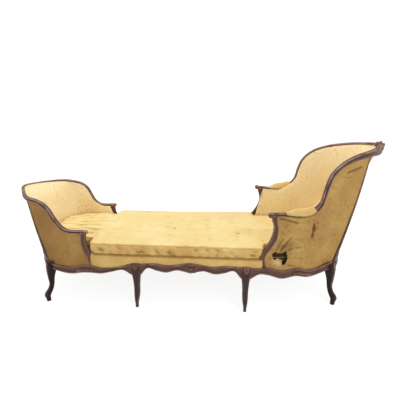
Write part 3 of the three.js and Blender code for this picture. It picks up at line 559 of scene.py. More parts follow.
def waxed_wood(name, dark, light, wear_and_highlight, dirt, gloss, shine=0.35):
    """Stained wood whose raised edges are worn and carry a painted highlight, and whose hollows hold dirt.
    Gloss is its roughness.
    """
    material, tree, shader = new_material(name)
    flat = add(tree, "Attribute", attribute_name="flat_mm")
    bend = add(tree, "Attribute", attribute_name="edge")
    place = add(tree, "TexCoord")
    grain_place = add(tree, "Mapping", {"Vector": flat.outputs["Vector"],
                                        "Scale": (1 / GRAIN_LONG, 1 / GRAIN_WIDE, 1)})
    grain = add(tree, "TexNoise", {"Vector": grain_place, "Scale": 1.0, "Detail": 5.0, "Roughness": 0.6})
    patch = add(tree, "TexNoise", {"Vector": place.outputs["Object"], "Scale": 1 / (WEAR_PATCH * MM),
                                   "Detail": 4.0})
    tone = add(tree, "MapRange", {"Value": grain, "From Min": 0.3, "From Max": 0.7})
    body = add(tree, "MixRGB", {"Fac": tone, "Color1": linear(dark), "Color2": linear(light)})
    # Raised edges turn pale: partly wear, partly a painted highlight.
    worn_and_lit_edges = add(tree, "MapRange", {"Value": bend.outputs["Fac"], "From Min": 0.12, "From Max": 0.5})
    broken = add(tree, "MapRange", {"Value": patch, "From Min": 0.34, "From Max": 0.6})
    wear_and_highlight_mask = add(tree, "Math", {0: worn_and_lit_edges, 1: broken}, operation="MULTIPLY")
    body = add(tree, "MixRGB", {"Fac": wear_and_highlight_mask, "Color1": body, "Color2": linear(wear_and_highlight)})
    hollow = add(tree, "MapRange", {"Value": bend.outputs["Fac"], "From Min": -0.06, "From Max": -0.32})
    body = add(tree, "MixRGB", {"Fac": hollow, "Color1": body, "Color2": linear(dirt)})
    rough = add(tree, "MapRange", {"Value": wear_and_highlight_mask, "To Min": gloss, "To Max": gloss + 0.2})
    bump = add(tree, "Bump", {"Height": grain, "Strength": 0.35, "Distance": GRAIN_DEEP * MM})
    for key, value in (("Base Color", body), ("Roughness", rough), ("Normal", bump)):
        tree.links.new(value.outputs[0], shader.inputs[key])
    shader.inputs["IOR"].default_value = 1.5
    shader.inputs["Specular IOR Level"].default_value = shine
    return material


# Each wood's fourth colour is its worn edge, which also serves as a painted highlight.
show_wood = waxed_wood("beech_stained_walnut_waxed", "#462419", "#764939", "#b4917f", "#160a06", 0.46,
                       shine=0.45)
leg_wood = waxed_wood("beech_stained_dark_waxed", "#200f09", "#42241a", "#937062", "#0e0604", 0.42)
foot_wood = waxed_wood("beech_stained_black_waxed", "#0e0502", "#23110b", "#6d4c3e", "#060302", 0.4,
                       shine=0.2)
bare_wood = waxed_wood("beech_sawn_bare", "#8a6a48", "#a98a62", "#b89d78", "#5b432c", 0.68)
print("woods:", [m.name for m in bpy.data.materials if m.name.startswith("beech")])

# %% [markdown]
# The cloth is a silk damask, woven tone on tone: small sprigs in a twill of olive gold stand on a glossier
# pale gold ground, in a diagonal lattice about 30 mm apart. Silk has a soft sheen at grazing angles. The
# real threads are 0.3 mm apart; the ribs are drawn 2.4 mm apart so that a hint of them shows. The lattice
# is worked out by wrapping the flat place into cells, drawing one lobed spot in each, and letting a slow
# noise push the cells about, because old cloth never lies straight.

# %% The woven sprigs
SPRIG_APART, SPRIG_DRIFT, DRIFT_PATCH, BLUR_PATCH = 30.0, 46.0, 38.0, 70.0
# A sprig leans, and is longer than it is wide.
SPRIG_LEAN, SPRIG_NARROW, SPRIG_SHORT = math.radians(-30), 1.9, 0.85
# Reach of a sprig between its lobes and at their tips, and the soft edge round it.
SPRIG_WAIST, SPRIG_LOBE, SPRIG_EDGE = 1.5, 7.8, (-0.8, 1.2)


def woven_sprigs(tree, flat, place, sprig):
    """How much of the figure's colour shows at each place. Sprig is the most that any place shows."""
    lattice = SPRIG_APART / math.sqrt(2)
    drift = add(tree, "TexNoise", {"Vector": flat, "Scale": 1 / DRIFT_PATCH, "Detail": 2.0})
    drift = add(tree, "VectorMath", {0: drift.outputs["Color"], 1: (0.5, 0.5, 0.5)}, operation="SUBTRACT")
    drift = add(tree, "VectorMath", {0: drift, "Scale": SPRIG_DRIFT}, operation="SCALE")
    drift = add(tree, "VectorMath", {0: flat, 1: drift}, operation="ADD")
    turned = add(tree, "Mapping", {"Vector": drift, "Scale": (1 / lattice,) * 3,
                                   "Rotation": (0, 0, math.radians(45))})
    cell = add(tree, "VectorMath", {0: turned}, operation="FRACTION")
    cell = add(tree, "VectorMath", {0: cell, 1: (0.5, 0.5, 0)}, operation="SUBTRACT")
    cell = add(tree, "Mapping", {"Vector": cell, "Rotation": (0, 0, SPRIG_LEAN),
                                 "Scale": (SPRIG_NARROW * lattice, SPRIG_SHORT * lattice, 0)})
    axes = add(tree, "SeparateXYZ", {0: cell})
    angle = add(tree, "Math", {0: axes.outputs["X"], 1: axes.outputs["Y"]}, operation="ARCTAN2")
    lobes = add(tree, "Math", {0: angle, 1: 3.0}, operation="MULTIPLY")
    lobes = add(tree, "Math", {0: lobes}, operation="COSINE")
    lobe = add(tree, "MapRange", {"Value": lobes, "From Min": -1.0, "To Min": SPRIG_WAIST,
                                  "To Max": SPRIG_LOBE})
    radius = add(tree, "VectorMath", {0: cell}, operation="LENGTH")
    inside = add(tree, "Math", {0: lobe, 1: radius.outputs["Value"]}, operation="SUBTRACT")
    blurred = add(tree, "TexNoise", {"Vector": place, "Scale": 1 / (BLUR_PATCH * MM), "Detail": 3.0})
    strength = add(tree, "MapRange", {"Value": blurred, "From Min": 0.38, "From Max": 0.66, "To Min": 0.12,
                                      "To Max": 1.0})
    sprigs = add(tree, "MapRange", {"Value": inside, "From Min": SPRIG_EDGE[0], "From Max": SPRIG_EDGE[1],
                                    "To Max": sprig})
    return add(tree, "Math", {0: sprigs, 1: strength}, operation="MULTIPLY")


print("sprigs stand", SPRIG_APART, "mm apart")

# %% [markdown]
# Age has bleached what faced the light and stained the rest. So the cloth is mixed in layers: the ground,
# pale and dull patches, the figure, slubs of thicker thread, painted shade in the folds, and the few marks
# that single pieces carry. Each place on the object gets its own set of colours.

# %% Silk damask
SLUB_LONG, SLUB_WIDE, AGE_PATCH, CRUMPLE_PATCH = 45.0, 2.6, 160.0, 35.0
RIB_APART, RIB_DEEP = 2.4, 0.4
MARK_DARK, MARK_PALE = "#5a3b1a", "#f0d9a0"


def bands(apart):
    """The scale at which a wave texture's bands lie this many millimetres apart."""
    return math.pi / 10 / apart


def silk_damask(name, ground, figure, bleached, stain, fold_shade, sprig=0.6, patches=0.5, crumple=1.6,
                sheen=0.25):
    """Old silk: sprig is how far the figure shows, patches how far age does, crumple its depth in mm."""
    material, tree, shader = new_material(name)
    flat = add(tree, "Attribute", attribute_name="flat_mm").outputs["Vector"]
    bend = add(tree, "Attribute", attribute_name="edge")
    place = add(tree, "TexCoord").outputs["Object"]
    sprigs = woven_sprigs(tree, flat, place, sprig)
    slub_place = add(tree, "Mapping", {"Vector": flat, "Scale": (1 / SLUB_LONG, 1 / SLUB_WIDE, 1)})
    slubs = add(tree, "TexNoise", {"Vector": slub_place, "Scale": 1.0, "Detail": 3.0})
    wide = add(tree, "TexNoise", {"Vector": place, "Scale": 1 / (AGE_PATCH * MM), "Detail": 5.0,
                                  "Roughness": 0.6})
    pale = add(tree, "MapRange", {"Value": wide, "From Min": 0.5, "From Max": 0.72, "To Max": patches})
    dull = add(tree, "MapRange", {"Value": wide, "From Min": 0.5, "From Max": 0.26, "To Max": patches})
    cloth = add(tree, "MixRGB", {"Fac": pale, "Color1": linear(ground), "Color2": linear(bleached)})
    cloth = add(tree, "MixRGB", {"Fac": dull, "Color1": cloth, "Color2": linear(stain)})
    cloth = add(tree, "MixRGB", {"Fac": sprigs, "Color1": cloth, "Color2": linear(figure)})
    streak = add(tree, "MapRange", {"Value": slubs, "From Min": 0.3, "From Max": 0.7, "To Max": 0.16})
    cloth = add(tree, "MixRGB", {"Fac": streak, "Color1": cloth, "Color2": linear(stain)})
    # Painted shade: hollow creases darken towards the fold colour.
    shade = add(tree, "MapRange", {"Value": bend.outputs["Fac"], "From Min": -0.03, "From Max": -0.4,
                                   "To Max": 0.75})
    cloth = add(tree, "MixRGB", {"Fac": shade, "Color1": cloth, "Color2": linear(fold_shade)})
    # Marked places: stains and bleaching, and on the torn cover painted shade along its folds.
    mark = add(tree, "Attribute", attribute_name="stain")
    for reach, colour in ((0.9, MARK_DARK), (-0.9, MARK_PALE)):
        spot = add(tree, "MapRange", {"Value": mark.outputs["Fac"], "From Max": reach, "To Max": 0.85})
        cloth = add(tree, "MixRGB", {"Fac": spot, "Color1": cloth, "Color2": linear(colour)})
    rough = add(tree, "MapRange", {"Value": sprigs, "To Min": 0.52, "To Max": 0.7})
    weft = add(tree, "TexWave", {"Vector": flat, "Scale": bands(RIB_APART), "Distortion": 0.6},
               bands_direction="Y")
    soft = add(tree, "TexNoise", {"Vector": place, "Scale": 1 / (CRUMPLE_PATCH * MM), "Detail": 3.0})
    waves = add(tree, "Bump", {"Height": soft, "Strength": 0.6, "Distance": crumple * MM})
    bump = add(tree, "Bump", {"Height": weft, "Strength": 0.3, "Distance": RIB_DEEP * MM, "Normal": waves})
    for key, value in (("Base Color", cloth), ("Roughness", rough), ("Normal", bump)):
        tree.links.new(value.outputs[0], shader.inputs[key])
    shader.inputs["IOR"].default_value = 1.45
    shader.inputs["Sheen Weight"].default_value = sheen
    shader.inputs["Sheen Roughness"].default_value = 0.4
    shader.inputs["Sheen Tint"].default_value = linear("#fff3cf")
    return material


# The fifth colour of each silk is the painted shade in its folds.
squab_silk = silk_damask("silk_damask_bleached", "#f0d890", "#dabd70", "#f7eab8", "#dfc077", "#b08a44",
                         sprig=0.4, crumple=4.0)
inside_silk = silk_damask("silk_damask_warm", "#f9e2ae", "#c59c55", "#fcedc4", "#efcc8c", "#94703a",
                          sprig=0.72)
# A darker, warmer copy of the silk, which paints shade on the squab's boxing and the seat borders and
# darkens the arm pads.
border_silk = silk_damask("silk_damask_handled", "#e3bd6f", "#c2954c", "#efd08c", "#c99d55", "#76521f",
                          sprig=0.5, patches=0.8, crumple=3.0)
# A darker copy for the high end's outside covers: soiled cloth, and painted shade on their upright faces.
outside_silk = silk_damask("silk_damask_soiled", "#bd934a", "#a0763a", "#d6b26c", "#a87e40", "#5f421c",
                           sprig=0.85, patches=0.8, sheen=0.08)
# Darker still: painted shade on the low end's outside covers and in the squab's lower piping.
shaded_silk = silk_damask("silk_damask_smoked", "#a87c37", "#86612e", "#c39c58", "#8f6a35", "#4c3416",
                          sprig=0.9, patches=0.8, sheen=0.05)
print("silks:", [m.name for m in bpy.data.materials if m.name.startswith("silk")])

# %% [markdown]
# Jute cloth and webbing are plain, coarse and matt: two threads cross at right angles, 2 to 3 mm apart. Two
# wave textures, one along and one across, multiply to the small squares of such a weave.

# %% Jute
WEAVE_DEEP = 0.6


def jute(name, pale, dark, apart):
    """A plain weave whose threads lie this many millimetres apart."""
    material, tree, shader = new_material(name)
    flat = add(tree, "Attribute", attribute_name="flat_mm").outputs["Vector"]
    warp = add(tree, "TexWave", {"Vector": flat, "Scale": bands(apart)}, bands_direction="X")
    weft = add(tree, "TexWave", {"Vector": flat, "Scale": bands(apart)}, bands_direction="Y")
    cross = add(tree, "Math", {0: warp.outputs["Fac"], 1: weft.outputs["Fac"]}, operation="MULTIPLY")
    cloth = add(tree, "MixRGB", {"Fac": cross, "Color1": linear(dark), "Color2": linear(pale)})
    bump = add(tree, "Bump", {"Height": cross, "Strength": 0.6, "Distance": WEAVE_DEEP * MM})
    tree.links.new(cloth.outputs[0], shader.inputs["Base Color"])
    tree.links.new(bump.outputs[0], shader.inputs["Normal"])
    shader.inputs["Roughness"].default_value = 0.95
    return material


jute_web = jute("jute_webbing_woven", "#b39d74", "#7d6a49", 3.0)
hessian = jute("hessian_backing", "#6d5535", "#3a2a1a", 2.2)
print("jute:", jute_web.name, hessian.name)

# %% [markdown]
# The top rails are one moulding swept round each end: two beads with a cove between them on the outer
# face, and a soft roll on top. The section below is drawn in shares of the rail's width and depth.

# %% Top rails
RAIL_WIDTH, RAIL_DEPTH, RINGS_PER_KEY = 24.0, 22.0, 8
# How full the rail is at each key from its tip, and the rounding of the tip: share of size, and reach.
NOSE = curve([[0, 0.62], [0.35, 0.98], [1, 1], [2, 1]])
TIP_CAPS = ((0.9, 3), (0.66, 6), (0.3, 8))
RAIL_SECTION = [
    (-0.5, -0.3), (-0.44, -0.44), (-0.3, -0.5), (0, -0.48), (0.3, -0.5), (0.45, -0.43), (0.51, -0.3),
    (0.46, -0.17), (0.37, -0.09), (0.32, 0.0), (0.34, 0.09), (0.42, 0.15), (0.5, 0.22), (0.5, 0.32),
    (0.44, 0.42), (0.34, 0.45), (0.27, 0.41), (0.18, 0.45), (0.06, 0.5), (-0.1, 0.5), (-0.22, 0.45),
    (-0.29, 0.4), (-0.37, 0.42), (-0.46, 0.36), (-0.5, 0.24), (-0.46, 0.12), (-0.4, 0.04), (-0.39, -0.06),
    (-0.44, -0.16)]


def top_rail(end):
    """The whole rail of an end, from arm tip to arm tip, with rounded tips."""
    rings = []
    for share in shares(end.last * RINGS_PER_KEY):
        key = share * end.last
        at = rail_frame(end, key)
        nose = NOSE(min(key, end.last - key))[0]
        crest = ease(1 - abs(at.turn - 1), 0, 0.8)
        extra = end.crest_extra * end.slim * crest
        slim = lerp(1, end.slim, crest)
        width = RAIL_WIDTH * nose * slim
        depth = RAIL_DEPTH * nose * slim + extra
        rings.append([at.point + at.outward * width * o + at.up * (depth * n - extra / 2)
                      for o, n in RAIL_SECTION])
    rings = np.array(rings)
    for first, way in ((True, -1), (False, 1)):
        ring = rings[0 if first else -1]
        centre = ring.mean(0)
        tangent = rail_frame(end, 0 if first else end.last).tangent
        caps = [centre + (ring - centre) * share + tangent * way * out for share, out in TIP_CAPS]
        rings = np.concatenate([caps[::-1], rings] if first else [rings, caps])
    name = end.name
    parts = [f"{name}_{side_name}_{part}_rail" for _, side_name in SIDES for part in ("arm", "wing")]
    return build(f"{name}_top_rail", rings, show_wood, radius=4,
                 replaced=[*parts, f"{name}_crest_rail"])


for end in ENDS:
    print(top_rail(end).name, "swept through", len(end.keys), "keys")

# %% [markdown]
# The carver's ornaments stand on the rails: a five-petalled flower on the crest and at the middle of each
# apron, with leaves that run out beside them. They could be sculpted by hand; rings whose radius and height
# follow the petals keep them crisp and easy to change. A leaf is a ribbed bar along a bent line.

# %% Carved ornaments
PETAL_RINGS = [(1, -0.5), (1.02, 0.1), (0.97, 0.45), (0.85, 0.72), (0.7, 0.7), (0.54, 0.5), (0.4, 0.28),
               (0.34, 0.3), (0.31, 0.62), (0.26, 0.86), (0.17, 1.0), (0.06, 1.04)]
LEAF_SECTION = [
    (-0.5, -0.7), (-0.5, 0.05), (-0.42, 0.5), (-0.27, 0.95), (-0.12, 0.8), (0, 0.5), (0.12, 0.8),
    (0.27, 0.95), (0.42, 0.5), (0.5, 0.05), (0.5, -0.7)]
PETALS, EYE, LEAF_RINGS, LEAF_LOBES = 5, 0.36, 22, 7


def carved_flower(name, centre, normal, upward, size, stretch, depth, notch):
    """A flower of five petals. Notch is how far out the gaps between the petals reach."""
    normal = unit(normal)
    across = unit(np.cross(upward, normal))
    upward = np.cross(normal, across)
    rings = []
    for share, high in PETAL_RINGS:
        ring = []
        for angle in circle_angles(12 * PETALS):
            turn = (angle - math.pi / 2) * PETALS / 2
            petal = abs(math.cos(turn)) ** 0.7 if share > EYE else 1
            radius = size / 2 * share * lerp(notch, 1, petal)
            vein = 0.1 * depth if share > 0.45 and petal > 0.97 else 0
            rise = depth * high * lerp(notch - 0.24, 1, petal) - vein
            ring.append(centre + radius * (math.cos(angle) * across * stretch + math.sin(angle) * upward)
                        + rise * normal)
        rings.append(ring)
    return build(name, rings, show_wood, crease=50, radius=3)


def carved_leaf(name, line, normals, width, depth):
    """A ribbed leaf along a line of points, widest at a third of its length, that ends in a point."""
    line = np.array(line, float)
    along = np.linspace(0, 1, LEAF_RINGS)
    keys = np.linspace(0, 1, len(line))
    points = np.stack([curve(np.column_stack([keys, line]))(t) for t in along])
    directions = np.gradient(points, axis=0)
    rings = []
    for t, point, way in zip(along, points, directions):
        normal = unit(lerp(np.asarray(normals[0], float), np.asarray(normals[1], float), t))
        side = unit(np.cross(normal, way))
        swell = math.sin(math.pi * (0.1 + 0.86 * t) ** 0.7) ** 0.6
        lobed = 1 + 0.12 * math.sin(t * LEAF_LOBES * math.pi)
        rings.append([point + side * width * swell * lobed * o + normal * depth * swell * n
                      for o, n in LEAF_SECTION])
    return build(name, rings, show_wood, crease=50, radius=3)


# The crest's flowers: place from the rail's middle, the way each faces, its upward side, its size, how much
# it is stretched along the rail, its depth, and how far out the gaps between its petals reach.
CREST_FLOWERS = {
    "crest_flower": ((0, 0, 0), (0.25, 0, 1), (-1, 0, 0.25), 46, 1.7, 24, 0.86),
    "crest_flower_front": ((-11, 0, -10), (-1, 0, 0.15), (0, 0, 1), 44, 1.4, 7, 0.84),
    "crest_flower_back": ((11, 0, -14), (1, 0, 0.1), (0, 0, 1), 44, 1.4, 7, 0.84)}
# Its leaves: keys from the rail's middle, how high the leaf lies there, and its width and depth.
CREST_LEAF_KEYS, CREST_LEAF_RISE, CREST_LEAF_SIZE = (0.22, 0.45, 0.7, 0.95), (1, 4, 5, 2), (17, 5)

top = rail_frame(head, head.last / 2)
for name, (place, *shape) in CREST_FLOWERS.items():
    carved_flower(name, top.point + place, *shape)
for side, side_name in SIDES:
    for face, out in (("front", -9), ("back", 9)):
        frames = [rail_frame(head, head.last / 2 + side * key) for key in CREST_LEAF_KEYS]
        line = [at.point + at.outward * out + at.up * rise for at, rise in zip(frames, CREST_LEAF_RISE)]
        normals = [at.outward * math.copysign(1, out) + at.up for at in (frames[0], frames[3])]
        carved_leaf(f"crest_leaf_{face}_{side_name}", line, normals, *CREST_LEAF_SIZE)
print("the crest's flower and leaves are carved")

# %% [markdown]
# Each arm ends in a rolled knob, turned like a small drum with its axis across the rail. Where the wing of
# the high end rises behind its arm pad, a leaf covers the end of the padding.

# %% Arm knobs and pad leaves
# Places along the drum's axis from the inner face outwards, and the share of its radius there.
DRUM = [
    (-14, 0.3), (-14, 0.55), (-12, 0.8), (-8, 0.97), (0, 1), (8, 0.97), (12, 0.86), (13, 0.66),
    (11, 0.5), (11.5, 0.34), (14, 0.24), (14.5, 0.08)]
DRUM_POINTS, KNOB_OUT, KNOB_DOWN = 24, 5.0, 3.0
# Keys of the rail between which the arm pad lies, and the leaf that rises from its end.
PAD_START, PAD_STOP, PAD_LEAF_STEP = 1.2, 3.75, 0.45


def arm_knob(end, side, side_name):
    """The arm's rolled tip: a short drum across the rail, with a button on its outer face."""
    tip = at_side(rail_line(end, 0), side) + [end.sign * KNOB_OUT, 0, -KNOB_DOWN]
    rings = []
    for out, share in DRUM:
        size = end.knob * share
        rings.append([tip + [size * math.cos(a), side * out, size * math.sin(a)]
                      for a in circle_angles(DRUM_POINTS)])
    build(f"{end.name}_{side_name}_arm_knob", rings, show_wood, radius=4)


for corner in CORNERS:
    arm_knob(*corner)
for side, side_name in SIDES:
    key = PAD_STOP if side == NEAR else head.last - PAD_STOP
    step = -PAD_LEAF_STEP * side
    frames = [rail_frame(head, key + step * i) for i in (-0.6, 0, 1, 2)]
    line = [at.point + at.up * rise for at, rise in zip(frames, (16, 14, 11, 10))]
    carved_leaf(f"head_{side_name}_pad_leaf", line, (frames[0].up, frames[2].up), 22, 7)
print("knobs and pad leaves carved")

# %% [markdown]
# Arm posts and rear posts are tapered sticks: the first S-curved and hollowed on the outer face between
# two beads, the second nearly straight. Both are lofts along a bent line.

# %% Posts
POST_SECTION = [
    (-0.5, -0.24), (-0.4, -0.42), (-0.24, -0.5), (0.24, -0.5), (0.4, -0.42), (0.5, -0.24), (0.5, 0.18),
    (0.43, 0.42), (0.33, 0.5), (0.24, 0.43), (0.15, 0.35), (0, 0.32), (-0.15, 0.35), (-0.24, 0.43),
    (-0.33, 0.5), (-0.43, 0.42), (-0.5, 0.18)]
SQUARENESS, ARM_POST_WIDTH, ARM_POST_DEEP, POST_SUNK = 0.55, 38.0, 23.0, 3.0


def squared(value):
    """A sine or cosine pushed outwards, so that a circle drawn with it comes near a square."""
    return math.copysign(abs(value) ** SQUARENESS, value) / 2


SOFT_SQUARE = [(squared(math.cos(a)), squared(math.sin(a))) for a in circle_angles(24)]


def arm_post(end, side, side_name):
    """An S-curved post between the side rail and the arm."""
    start = np.array([end.post_x, side * (half_width(end.post_x) - LEDGE / 2),
                      apron_edges(end.post_x)[0] - POST_SUNK])
    stop = at_side(rail_line(end, POST_KEY), side)
    rings = []
    for up in np.linspace(0, 1, 40):
        sway, width = end.post(up)
        centre = lerp(start, stop, up) + [end.sign * end.sway * sway, 0, 0]
        rings.append([centre + [ARM_POST_WIDTH * width * a, ARM_POST_DEEP * o * side, 0]
                      for a, o in POST_SECTION])
    name = f"{end.name}_{side_name}_arm_post"
    return build(name + "_carved", rings, show_wood, radius=4, replaced=[name])


def rear_post(end, side, side_name):
    """A raked post that stands over a corner leg and carries the top rail."""
    start = stile_foot(end, side)
    stop = at_side(rail_line(end, end.stile_key), side)
    outward = corner_outward(end, side)
    across = np.array([-outward[1], outward[0], 0])
    rings = []
    for up in np.linspace(0, 1, 24):
        centre = lerp(start, stop, up) + [end.sign * end.stile_bow * BOW(up)[0], 0, 0]
        size = STILE_WIDTH * lerp(1, 0.85, up)
        rings.append([centre + size * o * outward + size * a * across for o, a in SOFT_SQUARE])
    name = f"{end.name}_{side_name}_rear_post"
    return build(name + "_shaped", rings, leg_wood, radius=5, replaced=[name])


for corner in CORNERS:
    arm_post(*corner)
    rear_post(*corner)
print("posts made")

# %% [markdown]
# The apron rails have a carved face: a raised bead along the top, a flat hollow, and a lip along the
# sawn lower edge. The face is drawn once as height shares and how far it stands out, in millimetres.

# %% Apron and end rails
FACE = [
    (0.0, -4), (0.03, -1), (0.08, 2), (0.15, 3), (0.22, 2.2), (0.27, 0), (0.3, -1.6), (0.4, -1.4),
    (0.55, -0.6), (0.66, -0.6), (0.7, 0.6), (0.76, 2.6), (0.84, 3.6), (0.92, 3.4), (0.97, 2.2), (1, 0.5)]
RING_STEP, END_RINGS = 9.0, 60


def rail_section(top, bottom):
    """Outward place and height of the rail's section, from the back's foot round the face to its top."""
    face = [(out, lerp(bottom, top, share)) for share, out in FACE]
    return [(-RAIL_THICK, bottom), *face, (-LEDGE, top), (-LEDGE, PLANK_TOP), (-RAIL_THICK, PLANK_TOP)]


def side_rail(run, start, stop, side, side_name):
    """One run of the serpentine apron, between two legs."""
    rings = []
    for x in np.linspace(start, stop, int(abs(stop - start) / RING_STEP)):
        slope = (half_width(x + 3) - half_width(x - 3)) / 6
        outward = unit([-slope, side, 0])
        line = np.array([x, side * half_width(x), 0])
        rings.append([line + outward * out + [0, 0, z] for out, z in rail_section(*apron_edges(x))])
    name = f"{run}_{side_name}_side_rail"
    return build(name + "_carved", rings, show_wood, radius=4, replaced=[name])


def end_rail(end):
    """The bowed rail between the corner legs, which stands a little proud of the cover above it."""
    rings = []
    for y in np.linspace(-end.leg_y, end.leg_y, END_RINGS):
        outward = unit([end.sign, 2 * end.bow * y / end.leg_y ** 2, 0])
        proud = end.proud * (1 - (y / end.leg_y) ** 6)
        line = np.array([end_face_x(end, y) + end.sign * proud, y, 0])
        top = lerp(APRON_TOP, END_TOP, end_arch(end, y))
        section = rail_section(top, END_BOTTOM)
        rings.append([line + outward * out + [0, 0, z] for out, z in section])
    name = f"{end.name}_end_rail"
    return build(name + "_carved", rings, show_wood, radius=4, replaced=[name])


for side, side_name in SIDES:
    side_rail("foot", foot.leg_x, -MIDDLE_X, side, side_name)
    side_rail("centre", -MIDDLE_X, MIDDLE_X, side, side_name)
    side_rail("head", MIDDLE_X, head.leg_x, side, side_name)
for end in ENDS:
    end_rail(end)
print("rails made")

# %% [markdown]
# The apron's carving: a flower at the middle of the long run, and a leaf under each arm.

# %% Carving on the apron
# Place of the flower, then its size, stretch, depth and notch. A leaf's run and the x where it starts and
# stops.
FLOWER_X, FLOWER_Z, FLOWER_SHAPE = 7.0, 259.0, (54, 1.55, 12, 0.68)
LEAF_RUNS = (("head", 591, 711), ("foot", -583, -684))

for side, side_name in SIDES:
    carved_flower(f"centre_{side_name}_flower", [FLOWER_X, side * (half_width(0) + 1), FLOWER_Z],
                  (0, side, 0.1), (0, 0, 1), *FLOWER_SHAPE)
    for run, start, stop in LEAF_RUNS:
        line = []
        for x in np.linspace(start, stop, 4):
            high, low = apron_edges(x)
            line.append([x, side * (half_width(x) + 2), lerp(low, high, 0.32)])
        carved_leaf(f"{run}_{side_name}_apron_leaf", line, ((0, side, 0), (0, side, 0)), 22, 6)
print("apron carved")

# %% [markdown]
# A cabriole leg bends like an animal's: the knee stands proud, the ankle is drawn in and the toe turns
# out. It is one loft down a bent line. Corner legs face the diagonal, middle legs face straight out.

# %% Cabriole legs
# Each row: share of the height, share of the toe's reach outwards, and share of the thickness.
CORNER_LEG = curve([
    [0, 0.92, 0.36], [0.083, 0.96, 0.42], [0.14, 1, 0.5], [0.2, 0.85, 0.54], [0.28, 0.55, 0.46],
    [0.38, 0.34, 0.42], [0.57, 0.27, 0.57], [0.74, 0.16, 0.8], [0.85, 0.03, 0.96], [0.94, 0, 0.92],
    [1, 0, 0.9]])
MIDDLE_LEG = curve([
    [0, 1, 0.3], [0.083, 0.97, 0.32], [0.155, 0.86, 0.42], [0.2, 0.7, 0.5], [0.27, 0.5, 0.57],
    [0.39, 0.3, 0.59], [0.51, 0.25, 0.64], [0.63, 0.2, 0.73], [0.75, 0.13, 0.9], [0.85, 0.03, 1],
    [1, 0, 0.96]])
CORNER_TOE, CORNER_THICK, MIDDLE_TOE, MIDDLE_THICK, MIDDLE_RISE = 48.0, 66.0, 34.0, 58.0, 3.0
LEG_RINGS, KNEE_LEAF = 56, (0.99, 0.95, 0.91, 0.86)


def leg(name, shape, centre, outward, height, toe, width, material):
    """A leg from the floor to its height, with a leaf on its knee."""
    across = np.array([-outward[1], outward[0], 0])
    rings = []
    for up in np.linspace(0, 1, LEG_RINGS):
        reach, thick = shape(up)
        line = np.array([*centre[:2], height * up]) + outward * toe * reach
        rings.append([line + width * thick * (o * outward + a * across) for o, a in SOFT_SQUARE])
    build(name + "_carved", rings, material, radius=6, replaced=[name])
    line = []
    for up in KNEE_LEAF:
        reach, thick = shape(up)
        out = toe * reach + width * thick / 2 - 0.5
        line.append(np.array([*centre[:2], height * up]) + outward * out)
    carved_leaf(name + "_knee_leaf", line, (outward, outward), 28, 3)


for end, side, side_name in CORNERS:
    centre = np.array([end.leg_x, side * end.leg_y, 0])
    leg(f"{end.name}_{side_name}_corner_leg", CORNER_LEG, centre, corner_outward(end, side),
        APRON_TOP - end.leg_drop, CORNER_TOE, CORNER_THICK, foot_wood)
    x = end.sign * MIDDLE_X
    centre = np.array([x, side * (half_width(x) - LEG_INSET), 0])
    leg(f"{end.name}_{side_name}_middle_leg", MIDDLE_LEG, centre, np.array([0.0, side, 0]),
        apron_edges(x)[0] + MIDDLE_RISE, MIDDLE_TOE, MIDDLE_THICK, leg_wood)
print("eight legs made")

# %% [markdown]
# Some pieces of the frame only show from below or while the squab is off: the cross bearers, the curved
# rails to which the inside backs are tacked, and the webbing. Their measured solids have the real form
# already, so they only get a finish: wood straight from the saw, and woven jute.

# %% Hidden frame


def finish(name, material):
    """Gives a measured solid its finish."""
    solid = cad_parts[name]
    solid.data.materials.clear()
    solid.data.materials.append(material)


for name in ("foot_cross_bearer", "centre_cross_bearer", "head_cross_bearer", "head_lower_back_rail",
             "foot_lower_back_rail"):
    finish(name, bare_wood)
finish("webbing", jute_web)
print("hidden frame finished")

# %% [markdown]
# Stuffed pieces are closed skins blown up a little by cloth simulation, which is how stuffing works: it
# pushes from inside while seams and tacks hold the edges. The result is written back to the mesh, and no
# point may travel further than the cap, so a piece never bursts out of its place.

# %% The stuffing
PRESSURE, CLOTH_STIFF, FRAMES = 4.0, 0.4, 20


def puff(piece, held, cap, slack=0.0, crease=7, passes=1):
    """Blows the piece up while its held points stay, and marks its creases.

    Slack is the share by which the cloth is cut too large."""
    mesh = piece.data
    start = read_all(mesh.vertices, "co", 3)
    group = piece.vertex_groups.new(name="held")
    group.add([int(i) for i in np.flatnonzero(held)], 1.0, "REPLACE")
    cloth = piece.modifiers.new("stuffing", "CLOTH")
    settings = cloth.settings
    settings.use_pressure = True
    settings.uniform_pressure_force = PRESSURE
    settings.effector_weights.gravity = 0
    settings.vertex_group_mass = "held"
    settings.shrink_min = -slack
    settings.bending_stiffness = CLOTH_STIFF
    scene = bpy.context.scene
    for step in range(1, FRAMES + 1):
        scene.frame_set(step)
    shown = piece.evaluated_get(bpy.context.evaluated_depsgraph_get())
    move = read_all(shown.data.vertices, "co", 3) - start
    piece.modifiers.remove(cloth)
    piece.vertex_groups.clear()
    scene.frame_set(1)
    length = np.linalg.norm(move, axis=1)
    limit = cap * MM * np.tanh(length / (cap * MM)) / np.maximum(length, 1e-9)
    mesh.vertices.foreach_set("co", (start + move * limit[:, None]).ravel())
    mesh.update()
    mesh.attributes.remove(mesh.attributes["edge"])
    mark_edges(mesh, crease, passes)
    print(piece.name, "swelled by up to", round(float(length.max()) / MM, 1), "mm")


# %% [markdown]
# The inside of each end is one curved pad from arm post to arm post. It is fullest low down, thins towards
# the rail, and rolls over to tuck under the rail and behind the posts. Its front is silk and its back the
# hessian to which the stuffing is stitched. One skin with two finishes keeps the seam between them closed.

